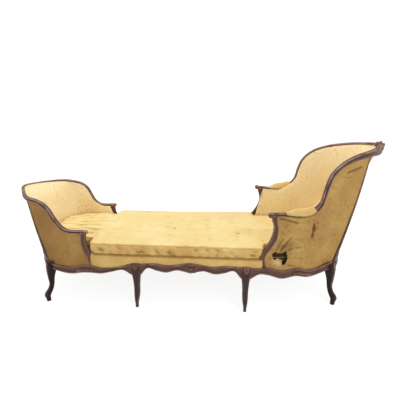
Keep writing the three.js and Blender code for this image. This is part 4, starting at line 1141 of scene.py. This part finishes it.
# %% Inside backs
# How far the pad's back stands inside the shell at its foot, the stuffing's thickness at foot and top and
# how much it swells in between, and how far below the rail's line it stops.
PAD_BACK, PAD_BASE, PAD_TOP, PAD_CROWN, PAD_UNDER = 29.0, 34.0, 7.0, 9.0, 4.0
PAD_EDGE, PAD_PLACES, PAD_LEVELS, PAD_SMOOTHINGS = 0.03, 170, 30, 200
# Shares of a side and of the height over which the pad rounds off, and where its smoothing fades out.
PAD_SIDE_ROLL, PAD_TOP_ROLL, PAD_SMOOTH_TOP = 0.1, 0.12, 0.86


def pad_rings(end):
    """Front and back of an inside back: for each place a row of points from the seat up to the rail."""
    fronts, backs = [], []
    for place in np.linspace(PAD_EDGE, 4 - PAD_EDGE, PAD_PLACES):
        front, back = [], []
        behind = behind_posts(place)
        rail_half = RAIL_WIDTH / 2 * lerp(1, end.slim, behind)
        drawn = quarter_round(min(place, 4 - place) / PAD_SIDE_ROLL)
        for v in shares(PAD_LEVELS):
            top = shell_at(end, place, SEAT_TOP)[3] - PAD_UNDER + end.pad_lift * behind
            height = lerp(SEAT_TOP + 0.3, top, v)
            point, outward, _, _ = shell_at(end, place, height)
            outer = lerp(PAD_BACK, rail_half - 1, v)
            thick = lerp(PAD_BASE, PAD_TOP, v) + PAD_CROWN * math.sin(math.pi * v)
            roll = quarter_round((1 - v) / PAD_TOP_ROLL)
            thick = 1 + thick * roll * lerp(end.pad_edge, 1, drawn)
            front.append(point - outward * (outer + thick))
            back.append(point - outward * outer)
        fronts.append(front)
        backs.append(back)
    return np.array(fronts), np.array(backs)


def inside_back(end):
    """The pad's skin. Its front is smoothed along the end, all but the part that tucks under the rail."""
    fronts, backs = pad_rings(end)
    smooth = fronts.copy()
    for _ in range(PAD_SMOOTHINGS):
        smooth[1:-1] = (smooth[:-2] + 2 * smooth[1:-1] + smooth[2:]) / 4
    rounded = [1 - ease(v, PAD_SMOOTH_TOP, 1) for v in shares(PAD_LEVELS)]
    fronts = fronts + np.array(rounded)[None, :, None] * (smooth - fronts)
    along = running_length(fronts[:, PAD_LEVELS // 2])
    flat = np.stack([np.repeat(along[:, None], PAD_LEVELS + 1, 1), fronts[..., 2], 0 * fronts[..., 2]], -1)
    rings = np.concatenate([fronts, backs[:, ::-6]], 1)
    flats = np.concatenate([flat, flat[:, ::-6]], 1)
    piece = build(f"{end.name}_inside_back_pad", rings, inside_silk, flat=flats, crease=0,
                  radius=14, replaced=[f"{end.name}_inside_back"])
    piece.data.materials.append(hessian)
    count = len(rings[0])
    for polygon in piece.data.polygons:
        if min(i % count for i in polygon.vertices) > PAD_LEVELS - 1:
            polygon.material_index = 1
    held = np.ones((len(rings), count), bool)
    held[6:-6, 2:PAD_LEVELS - 2] = False
    puff(piece, held.ravel(), cap=6, crease=3, passes=2)
    return piece


for end in ENDS:
    print(inside_back(end).name)

# %% [markdown]
# Outside covers are single skins pulled tight over the hollow sides and back, and tacked behind the
# mouldings. The near one at the head has split: a hole gapes over the seat rail, with a loose flap at its
# lower left and folds that run away from it. The hole is a polygon in which no faces are made. Each fold is
# a soft ridge along a line, and all of them add up to one height that moves the surface itself.

# %% Tears, folds, worn places and painted shade of the old cover
# Corners of the hole as (x, z). A fold: its two ends, how high and how wide it is. A marked place: x, z,
# radius, and how dark (above 0) or pale (below 0) it is. The marks are wear and stains, and painted shade
# along the folds.
TORN = [(464, 354), (478, 372), (496, 364), (516, 370), (540, 380), (553, 338), (543, 296), (521, 290),
        (524, 322), (498, 335), (474, 327)]
FOLDS = [
    ((516, 372), (600, 430), 6, 8), ((524, 366), (612, 384), 5, 8), ((500, 374), (536, 446), 5, 7),
    ((508, 380), (566, 452), -4, 7), ((540, 372), (640, 404), -3, 9), ((502, 578), (598, 556), 4, 7),
    ((598, 556), (715, 584), 3, 7), ((500, 566), (590, 543), -3, 8), ((852, 815), (963, 845), -6, 6),
    ((850, 806), (950, 832), 4, 8), ((688, 536), (684, 452), -7, 5), ((700, 534), (696, 470), 4, 5),
    ((472, 330), (470, 300), 5, 8), ((540, 330), (640, 300), 3, 10), ((552, 310), (700, 262), 3, 9)]
WORN_AND_SHADED = [
    (520, 348, 42, 0.5), (692, 508, 18, 0.75), (686, 468, 15, 0.75), (548, 396, 40, 0.42),
    (508, 402, 28, 0.45), (575, 420, 30, 0.2), (520, 540, 40, 0.15), (486, 316, 34, -0.35),
    (506, 300, 26, -0.35), (905, 828, 26, 0.3)]
FLAP_X, FLAP_Z, FLAP_WIDE, FLAP_TALL, FLAP_OUT = 488.0, 318.0, 34.0, 20.0, 9.0
# How high the slow and the fine waves of the slack cloth are, and how a fold grows, fades and softens.
SLACK_SLOW, SLACK_FINE, FOLD_GAIN, FOLD_FADE, FOLD_SOFT = 2.4, 1.2, 1.7, 0.6, 1.4


def within(polygon, x, z):
    """True for a place inside a polygon of (x, z) corners."""
    hit = False
    for (x0, z0), (x1, z1) in zip(polygon, polygon[1:] + polygon[:1]):
        if (z0 > z) != (z1 > z) and x < x0 + (z - z0) / (z1 - z0) * (x1 - x0):
            hit = not hit
    return hit


def fold_height(x, z):
    """How far the folds, the loose flap and the slack of the old cover stand out, in millimetres."""
    total = FLAP_OUT * math.exp(-((x - FLAP_X) / FLAP_WIDE) ** 2 - ((z - FLAP_Z) / FLAP_TALL) ** 2)
    slack = SLACK_SLOW * noise.noise(Vector((x / 60, z / 42, 3)))
    slack += SLACK_FINE * noise.noise(Vector((x / 22, z / 22, 8)))
    total += slack
    for (x0, z0), (x1, z1), high, wide in FOLDS:
        way = np.array([x1 - x0, z1 - z0])
        along = clamp(((x - x0) * way[0] + (z - z0) * way[1]) / (way @ way))
        away = math.hypot(x - x0 - along * way[0], z - z0 - along * way[1])
        fade = 1 - FOLD_FADE * along
        total += FOLD_GAIN * high * fade * math.exp(-(away / (FOLD_SOFT * wide)) ** 2)
    return total


print(len(FOLDS), "folds and", len(WORN_AND_SHADED), "worn places")

# %% [markdown]
# Every cover is a sheet of points between two places round the shell. It starts behind the seat rail's
# moulding, ends inside the top rail, and waves a little in between, as old cloth does. Its flat size is
# measured from the surface itself, and a modifier gives it the thickness of silk on its lining.

# %% Outside covers
COVER_INSET, COVER_THICK, COVER_SUNK = 6.0, 1.5, 3.0
# How far the skin stays clear of the pad's back, how wavy it is, the shares of height and side over which
# its tacks hold it flat, and how loose the torn one still is at its edge.
COVER_CLEAR, COVER_WAVE, TAUT_HIGH, TAUT_LONG, TORN_LOOSE = 3.0, 2.4, 0.05, 0.06, 0.2


def cover_points(end, torn, start, stop, steps, levels):
    """Rows of points of a cover between two places round the end."""
    rings = []
    for place in np.linspace(start, stop, steps + 1):
        ring = []
        _, _, base, top = shell_at(end, place, SEAT_TOP)
        behind = behind_posts(place)
        for v in shares(levels):
            height = lerp(base - COVER_SUNK, top, v)
            inset = lerp(COVER_INSET, COVER_INSET - RAIL_WIDTH / 2, v)
            if end is head:
                hidden = lerp(PAD_BACK, RAIL_WIDTH / 2 - 1, v) - COVER_CLEAR
                inset += plateau((hidden - inset) * behind, v, 0.4, 0.8, 0.95, 1)
            point, outward, _, _ = shell_at(end, place, height)
            taut = ease(min(v, 1 - v), 0, TAUT_HIGH) * ease(min(place - start, stop - place), 0, TAUT_LONG)
            if torn:
                inset -= fold_height(point[0], point[2]) * max(taut, TORN_LOOSE)
            else:
                inset -= COVER_WAVE * taut * noise.noise(Vector((place * 6, height / 50, end.sign)))
            ring.append(point - outward * inset)
        rings.append(ring)
    return rings


def outside_cover(end, part, start, stop):
    """One cover, with its flat size as the cutter would need it."""
    torn = end is head and part == "near"
    rings = cover_points(end, torn, start, stop, 150 if torn else 90, 100 if torn else 60)
    name = f"{end.name}_{part}_outside_cover"
    # The low end's covers take the darkest copy of the silk, as painted shade.
    silk = outside_silk if end is head else shaded_silk
    # The torn cover's marks hold wear, stains and painted shade along its folds.
    piece = build(name + "_cloth", rings, silk, closed=False, caps=False, crease=0,
                  radius=14, replaced=[name], marks=WORN_AND_SHADED if torn else (),
                  missing=(lambda x, y, z: within(TORN, x, z)) if torn else None)
    thick = piece.modifiers.new("thickness", "SOLIDIFY")
    thick.thickness = COVER_THICK * MM
    thick.offset = -1
    return piece


for end in ENDS:
    outside_cover(end, "near", 0, 1)
    outside_cover(end, "back", 1, 3)
    outside_cover(end, "far", 3, 4)
print("outside covers made")

# %% [markdown]
# The arm pads are small sausages of stuffing on the high end's arms, drawn in at both ends. Each follows
# its arm rail, so its section is set on the rail's own directions and not on the room's.

# %% Arm pads
# Each row: share of the pad's length, and how full it is.
SWELL = curve([
    [0, 0.22], [0.08, 0.5], [0.22, 0.82], [0.4, 0.98], [0.62, 1.04], [0.82, 1], [0.94, 0.84], [1, 0.6]])
PAD_WIDE, PAD_HIGH, PAD_LIFT, PAD_RINGS, PAD_POINTS = 48.0, 38.0, 3.0, 48, 22


def arm_pad(side, side_name):
    """A half-round pad along an arm rail, held by tacks all round."""
    rings = []
    for along in np.linspace(0, 1, PAD_RINGS):
        key = lerp(PAD_START, PAD_STOP, along)
        at = rail_frame(head, key if side == NEAR else head.last - key)
        swell = SWELL(along)[0]
        width = PAD_WIDE * lerp(1, swell, 0.6)
        section = [(math.cos(a) / 2, math.sin(a)) for a in np.linspace(0, math.pi, PAD_POINTS)]
        rings.append([at.point + at.outward * width * o + at.up * (PAD_LIFT + PAD_HIGH * swell * n)
                      for o, n in section])
    # The pad takes the darker copy of the silk, as painted shade.
    piece = build(f"head_{side_name}_arm_pad_cover", rings, border_silk, crease=0, radius=10,
                  replaced=[f"head_{side_name}_arm_pad"])
    held = np.ones((PAD_RINGS, PAD_POINTS), bool)
    held[2:-2, 2:-2] = False
    puff(piece, held.ravel(), cap=4)
    return piece


for side, side_name in SIDES:
    arm_pad(side, side_name)
print("arm pads made")

# %% [markdown]
# Under the squab lies the stuffed seat, on woven jute straps. Its long edges are faced with borders, which
# show as a gold band between the cushion and the apron. A border is a low strip with a rolled face, and its
# stuffing is blown up a little, so that the band isn't dead straight.

# %% Seat borders
# Depths of the strip's back and face inside the frame's edge, how far it rolls out, its number of rings,
# and how far it stops short of the high end's arm post, as a share of that post's sway.
BORDER_BACK, BORDER_FACE, BORDER_ROLL, BORDER_RINGS, BORDER_SHORT = 25.0, 3.0, 3.0, 130, 0.42


def seat_border(side, side_name):
    """The strip between the squab and the apron on one side."""
    rings = []
    start = foot.post_x
    stop = head.post_x - head.sway * BORDER_SHORT
    for x in np.linspace(start, stop, BORDER_RINGS):
        low = apron_edges(x)[0] - 3
        section = [(-BORDER_BACK, low), (-BORDER_FACE - 5, low), (-BORDER_FACE - 1, low + 3)]
        section += [(-BORDER_FACE + BORDER_ROLL * math.sin(math.pi * s), lerp(low + 6, SEAT_TOP - 11, s))
                    for s in np.linspace(0, 1, 9)]
        section += [(-BORDER_FACE - 5, SEAT_TOP - 6), (-BORDER_FACE - 15, SEAT_TOP - 3),
                    (-BORDER_BACK, SEAT_TOP)]
        rings.append([[x, side * (half_width(x) + o), z] for o, z in section])
    name = f"{side_name}_seat_border"
    # The border takes the darker copy of the silk, which paints shade on this upright band.
    piece = build(name + "_cover", rings, border_silk, crease=0, radius=10, replaced=[name])
    held = np.ones((BORDER_RINGS, len(rings[0])), bool)
    held[2:-2, 4:12] = False
    puff(piece, held.ravel(), cap=4, slack=0.02)
    return piece


for side, side_name in SIDES:
    seat_border(side, side_name)
print("borders made")

# %% [markdown]
# The stuffed seat itself is a low block that fills the plan of the frame. Its top is silk, and its sides
# are hessian, because the borders hide them. It isn't blown up, because the squab covers it.

# %% Stuffed seat
SEAT_INSET, SEAT_FOOT, SEAT_RINGS, SEAT_NARROWEST = 25.3, 299.8, 140, 4.0


def seat_reach(x):
    """Half the seat's width at x, which follows the bow of both ends."""
    end = head if x > 0 else foot
    past = end.sign * (x - end.leg_x) + SEAT_INSET
    if past <= 0:
        return half_width(clamp(x, foot.leg_x + SEAT_INSET, head.leg_x - SEAT_INSET)) - SEAT_INSET
    reach = end.leg_y - SEAT_INSET
    if past > LEG_INSET:
        room = clamp(1 - (past - LEG_INSET) / end.bow)
        reach = min(reach, end.leg_y * math.sqrt(room))
    return max(reach, SEAT_NARROWEST)


def stuffed_seat():
    """The block of stuffing on the webbing."""
    rings = []
    section = [(s, 0) for s in np.linspace(-0.99, 0.99, 20)] + [(1, 0.3), (1, 0.7)]
    section += [(s, 1) for s in np.linspace(0.985, -0.985, 24)] + [(-1, 0.7), (-1, 0.3)]
    for x in np.linspace(end_face_x(foot, 0) + SEAT_INSET, end_face_x(head, 0) - SEAT_INSET, SEAT_RINGS):
        reach = seat_reach(x)
        rings.append([[x, reach * s, lerp(SEAT_FOOT, SEAT_TOP - 0.4, z)] for s, z in section])
    piece = build("stuffed_seat_cover", rings, inside_silk, crease=30, radius=12,
                  replaced=["stuffed_seat"])
    piece.data.materials.append(hessian)
    for polygon in piece.data.polygons:
        polygon.material_index = 0 if polygon.normal.z > 0.5 else 1
    return piece


print(stuffed_seat().name, "made")

# %% [markdown]
# The loose squab is a box cushion. Its plan is read from the frame: as wide as the seat where that is open,
# drawn in between the arms, and round at both ends, so that it fills the gondolas and still lifts out.

# %% Plan of the squab
SQUAB_FOOT, SQUAB_HIGH, SQUAB_CROWN = SEAT_TOP + 0.3, 69.0, 9.0
# Gaps to the inside backs, to the arms and to the frame's edge, and the length and shape of the rounding.
SQUAB_GAP, SQUAB_CLEAR, SQUAB_EDGE, SQUAB_ROUND, ROUND_POWER = 12.0, 6.5, 6.0, 190.0, 2.3
# Where it draws in: how far before the low end's posts, and where the slope starts and ends around that.
FOOT_POST_AHEAD, DRAWN_FROM, DRAWN_TO = 10.0, 8.0, 6.0
squab_end = {}
for end in ENDS:
    squab_end[end.name] = end_face_x(end, 0) - end.sign * (PAD_BACK + PAD_BASE + SQUAB_GAP)
    narrow = min(row[1] for row in end.rail[:4])
    end.squab_half = end.arm_half * narrow - RAIL_WIDTH / 2 - PAD_TOP - SQUAB_CLEAR


def squab_half(x):
    """Half the squab's width at x."""
    end = head if x > 0 else foot
    ahead = end.sign * x
    post = end.sign * end.post_x - (head.sway if end is head else FOOT_POST_AHEAD)
    wide = half_width(x) - SQUAB_EDGE
    in_arms = end.squab_half - (half_width(end.sign * MIDDLE_X) - half_width(x))
    drawn = lerp(wide, in_arms, ease(ahead, post - DRAWN_FROM, post + DRAWN_TO))
    past = clamp((ahead - end.sign * squab_end[end.name]) / SQUAB_ROUND + 1)
    return drawn * (1 - past ** ROUND_POWER) ** (1 / ROUND_POWER)


def squab_places():
    """Places of the squab's rings, closer together towards the rounded ends."""
    even = np.linspace(0, 1, 240)
    close = 0.5 - 0.5 * np.cos(np.linspace(0, math.pi, 240))
    close = np.clip(lerp(close, even, 0.55), 0.0006, 0.9994)
    return lerp(squab_end["foot"], squab_end["head"], close)


print("squab from", *[round(c) for c in squab_end.values()], "mm")

# %% [markdown]
# Years of use have left the stuffing lumpy and the edges slumped: the boxing puckers, the top sags in the
# middle, and the corners lean towards the arm posts. The large forms are a formula with a few slow noises.
# The fine wrinkles come from the simulation: the cloth is cut 2 % too large and blown up between its seams.

# %% Skin of the squab
TOP_POINTS = 34
TOP_SEAM, FOOT_SEAM = TOP_POINTS + 1, TOP_POINTS + 10
# Half the section, from the middle of the top round the boxing to the middle of the underside.
HALF_SECTION = [(a, 1.0) for a in np.linspace(0, 0.925, TOP_POINTS)] + [
    (0.955, 0.985), (0.98, 0.945), (0.996, 0.88), (1.003, 0.8), (1.008, 0.7), (1.012, 0.6), (1.012, 0.5),
    (1.006, 0.38), (0.998, 0.26), (0.994, 0.16), (1, 0.07), (0.97, 0.01)] + [
    (a, 0.0) for a in np.linspace(0.92, 0, 8)]
# Stains on the top: x, y, radius and strength.
SQUAB_MARKS = [(-124, -83, 12, 1.5), (285, -145, 11, 1.5), (-170, -60, 22, 0.3), (-640, -150, 60, 0.15),
               (330, -120, 70, 0.12)]
# How far the corners lean, how far the boxing puckers and the top sags, and how high lumps and creases are.
HEAD_LEAN, FOOT_LEAN, PUCKER_FINE, PUCKER_SLOW, SAG = 28.0, 16.0, 18.0, 7.0, 18.0
LUMP_BROAD, LUMP_LONG, FOOT_CREASES, EDGE_WAVE = 5.0, 4.0, 12.0, 1.6
# Distances from the middle between which a corner starts to lean, leans fully, and is upright again.
HEAD_CORNER, FOOT_CORNER = (320, 380, 395, 460), (510, 570, 585, 640)


def squab_point(x, across, up):
    """A point of the squab's skin: across runs from 1 (near) to -1 (far), up from 0 to 1."""
    half = squab_half(x)
    way = math.copysign(1, across)
    outer = ease(abs(across), 0.8, 1)
    face = plateau(outer, up, 0.06, 0.3, 0.7, 0.94)
    share = clamp((x - squab_end["foot"]) / (squab_end["head"] - squab_end["foot"]))
    lean = plateau(HEAD_LEAN * up * outer, x, *HEAD_CORNER)
    lean -= plateau(FOOT_LEAN * up * outer, -x, *FOOT_CORNER)
    pucker = PUCKER_FINE * noise.noise(Vector((x / 40 + up, 3 * way, up * 1.6)))
    pucker += PUCKER_SLOW * noise.noise(Vector((x / 110, 9 * way, up * 4.5)))
    y = -half * across - way * face * pucker
    sag = SAG * lerp(1, 0.15, (across + 1) / 2) * math.sin(math.pi * share)
    z = SQUAB_FOOT + SQUAB_HIGH * up - sag * ease(up, 0.3, 1)
    if up >= 0.9:
        inner = 1 - ease(abs(across), 0.9, 1)
        foot_end = ease(-x, 520, 690)
        z += SQUAB_CROWN * clamp(half / foot.arm_half) ** 0.5 * (1 - across ** 2)
        z += inner * LUMP_BROAD * noise.noise(Vector((x / 60, y / 170, 0)))
        z += inner * LUMP_LONG * noise.noise(Vector((x / 200, y / 50, 4)))
        z += inner * foot_end * FOOT_CREASES * noise.noise(Vector((x / 170, y / 34, 7)))
    z += EDGE_WAVE * outer * noise.noise(Vector((x / 45, 5 * way, 1)))
    return [x + lean, y, z]


def squab():
    """The cushion's skin: bleached silk on top and below, and between the pipings a darker copy that paints
    the shade on the boxing.
    """
    rings, flats = [], []
    section = HALF_SECTION + [(-a, u) for a, u in HALF_SECTION[-2:0:-1]]
    for x in squab_places():
        ring = np.array([squab_point(x, across, up) for across, up in section])
        arc = running_length(ring)
        last = arc[-1] - arc[-2]
        arc = np.where(arc > arc[len(HALF_SECTION) - 1], arc - arc[-1] - last, arc)
        rings.append(ring)
        flats.append(np.stack([np.full(len(arc), x), arc, 0 * arc], 1))
    piece = build("squab_cushion_cover", rings, squab_silk, body="squab", flat=flats,
                  crease=0, radius=12, replaced=["squab_cushion"], mark_axes=(0, 1), marks=SQUAB_MARKS)
    count = len(section)
    # The boxing between the pipings gets the darker copy of the silk: painted shade on the upright faces.
    piece.data.materials.append(border_silk)
    for polygon in piece.data.polygons:
        places = [min(i % count, count - i % count) for i in polygon.vertices]
        if min(places) >= TOP_SEAM - 1 and max(places) <= FOOT_SEAM + 2:
            polygon.material_index = 1
    held = np.zeros((len(rings), count), bool)
    held[:, [TOP_SEAM, -TOP_SEAM, FOOT_SEAM, -FOOT_SEAM]] = True
    held[:, FOOT_SEAM:count - FOOT_SEAM + 1] = True
    puff(piece, held.ravel(), cap=9, slack=0.02, crease=30, passes=4)
    return piece


print(squab().name, "made")

# %% [markdown]
# Piping is a thin cord in a strip of the silk, sewn into the seam all round the squab. The upper one stays
# crisp; the lower one is thicker, and its darker silk paints the shade in the seam under the cushion. Each
# is a small circle swept along the seam.

# %% Pipings of the squab
PIPING_POINTS = 10


def piping(name, across, up, radius, silk):
    """A piping all round the squab, at one place of its section."""
    places = squab_places()
    line = [squab_point(x, across, up) for x in places]
    line += [squab_point(x, -across, up) for x in places[::-1]]
    line = np.array(line + line[:1])
    ways = np.roll(line, -1, 0) - np.roll(line, 1, 0)
    ways[0] = ways[-1] = line[1] - line[-2]
    rings = []
    for point, way in zip(line, ways):
        out = unit(np.cross(way, (0, 0, 1)))
        rings.append([point + radius * (math.cos(a) * out + np.array([0, 0, math.sin(a)]))
                      for a in circle_angles(PIPING_POINTS)])
    return build(name, rings, silk, body="squab", caps=False, crease=0, radius=8)


piping("squab_piping_top", 0.98, 0.945, 3.2, border_silk)
# The lower piping's darker silk is painted shade.
piping("squab_piping_foot", 1.0, 0.07, 4.0, shaded_silk)
print("two pipings sewn")

# %% [markdown]
# The photograph is a cut-out on white, so the studio is a pale floor with white all round. The camera and
# the reflections see that white in full, but it lights the object at half strength only, so that the two
# lamps still model its forms.

# %% Floor and white surroundings
# The floor seen by the camera is half lit and half a plain white, so that it fades into the white around
# and still holds the object's shadow.
FLOOR_HALF, FLOOR_GLOW, FLOOR_WHITE, WORLD_LIGHT = 14.0, 1.7, 0.5, 0.5

floor_material, tree, shader = new_material("floor_pale")
shader.inputs["Base Color"].default_value = linear("#e8e8e8")
shader.inputs["Roughness"].default_value = 0.9
path = add(tree, "LightPath")
glow = add(tree, "Emission", {"Color": (1, 1, 1, 1), "Strength": FLOOR_GLOW})
half_lit = add(tree, "MixShader", {0: FLOOR_WHITE, 1: shader, 2: glow})
both = add(tree, "Math", {0: path.outputs["Is Camera Ray"], 1: path.outputs["Is Glossy Ray"]},
           operation="MAXIMUM")
seen = add(tree, "MixShader", {0: both, 1: shader, 2: half_lit})
output = next(n for n in tree.nodes if n.type == "OUTPUT_MATERIAL")
tree.links.new(seen.outputs[0], output.inputs["Surface"])

floor_mesh = bpy.data.meshes.new("floor")
corners = [(FLOOR_HALF * x, FLOOR_HALF * y, 0) for x, y in ((-1, -1), (1, -1), (1, 1), (-1, 1))]
floor_mesh.from_pydata(corners, [], [(0, 1, 2, 3)])
floor_mesh.materials.append(floor_material)
floor = bpy.data.objects.new("floor", floor_mesh)
bpy.context.scene.collection.objects.link(floor)

world = bpy.data.worlds.new("studio")
world.use_nodes = True
tree = world.node_tree
tree.nodes.clear()
path = add(tree, "LightPath")
seen = add(tree, "Math", {0: path.outputs["Is Camera Ray"], 1: path.outputs["Is Glossy Ray"]},
           operation="MAXIMUM")
seen = add(tree, "Math", {0: seen, 1: path.outputs["Is Transmission Ray"]}, operation="MAXIMUM")
strength = add(tree, "MapRange", {"Value": seen, "To Min": WORLD_LIGHT, "To Max": 1.0})
sky = add(tree, "Background", {"Color": (1, 1, 1, 1), "Strength": strength})
add(tree, "OutputWorld", {"Surface": sky})
bpy.context.scene.world = world
print("floor", 2 * FLOOR_HALF, "m wide")

# %% [markdown]
# A broad lamp gives soft shadows and wide highlights on the waxed wood. The stronger, slightly warm one
# hangs high up, a little behind the seat and towards its low end, so the cushion's top and the inside of
# the high end are the brightest, as in the photograph. A weaker one in front lights the near sides.

# %% Lamps


def lamp(name, place, target, size, power, colour="#ffffff"):
    """A square lamp that faces its target. Power is in watts, the rest in metres."""
    light = bpy.data.lights.new(name, "AREA")
    light.size = size
    light.energy = power
    light.color = linear(colour)[:3]
    piece = bpy.data.objects.new(name, light)
    piece.location = place
    piece.rotation_mode = "QUATERNION"
    piece.rotation_quaternion = (Vector(target) - Vector(place)).to_track_quat("-Z", "Y")
    bpy.context.scene.collection.objects.link(piece)


lamp("lamp_above", (-0.6, 0.9, 3.4), (0, 0, 0.4), 2.6, 68, "#fffaf2")
lamp("lamp_front", (1.7, -3.0, 1.9), (0.3, 0, 0.5), 2.2, 34)
print("lamps:", [light.name for light in bpy.data.lights])

# %% [markdown]
# The camera stands where the photographer's did: a little right of the middle, at chest height, close by
# and with a wide lens, so the near side looks much larger than the far one. Its place and tilt were found
# by fitting the feet on the floor to the photograph, so its lens is worked out from a length in pixels.

# %% Camera
FOCAL_PX, FRAME_PX, SENSOR = 310.0, 400.0, 36.0
PITCH, YAW = math.radians(16.48), math.radians(3.15)
CAMERA_X, CAMERA_Y, CAMERA_Z = 145.0, -1945.0, 1150.0

view = bpy.data.cameras.new("camera")
view.sensor_width = SENSOR
view.lens = FOCAL_PX / FRAME_PX * SENSOR
camera = bpy.data.objects.new("camera", view)
camera.location = [c * MM for c in (CAMERA_X + SHIFT, CAMERA_Y, CAMERA_Z)]
forward = Vector((-math.sin(YAW) * math.cos(PITCH), math.cos(YAW) * math.cos(PITCH), -math.sin(PITCH)))
camera.rotation_mode = "QUATERNION"
camera.rotation_quaternion = forward.to_track_quat("-Z", "Y")
bpy.context.scene.collection.objects.link(camera)
bpy.context.scene.camera = camera
bpy.context.scene.view_settings.view_transform = "Standard"
print("camera lens:", round(view.lens, 1), "mm")
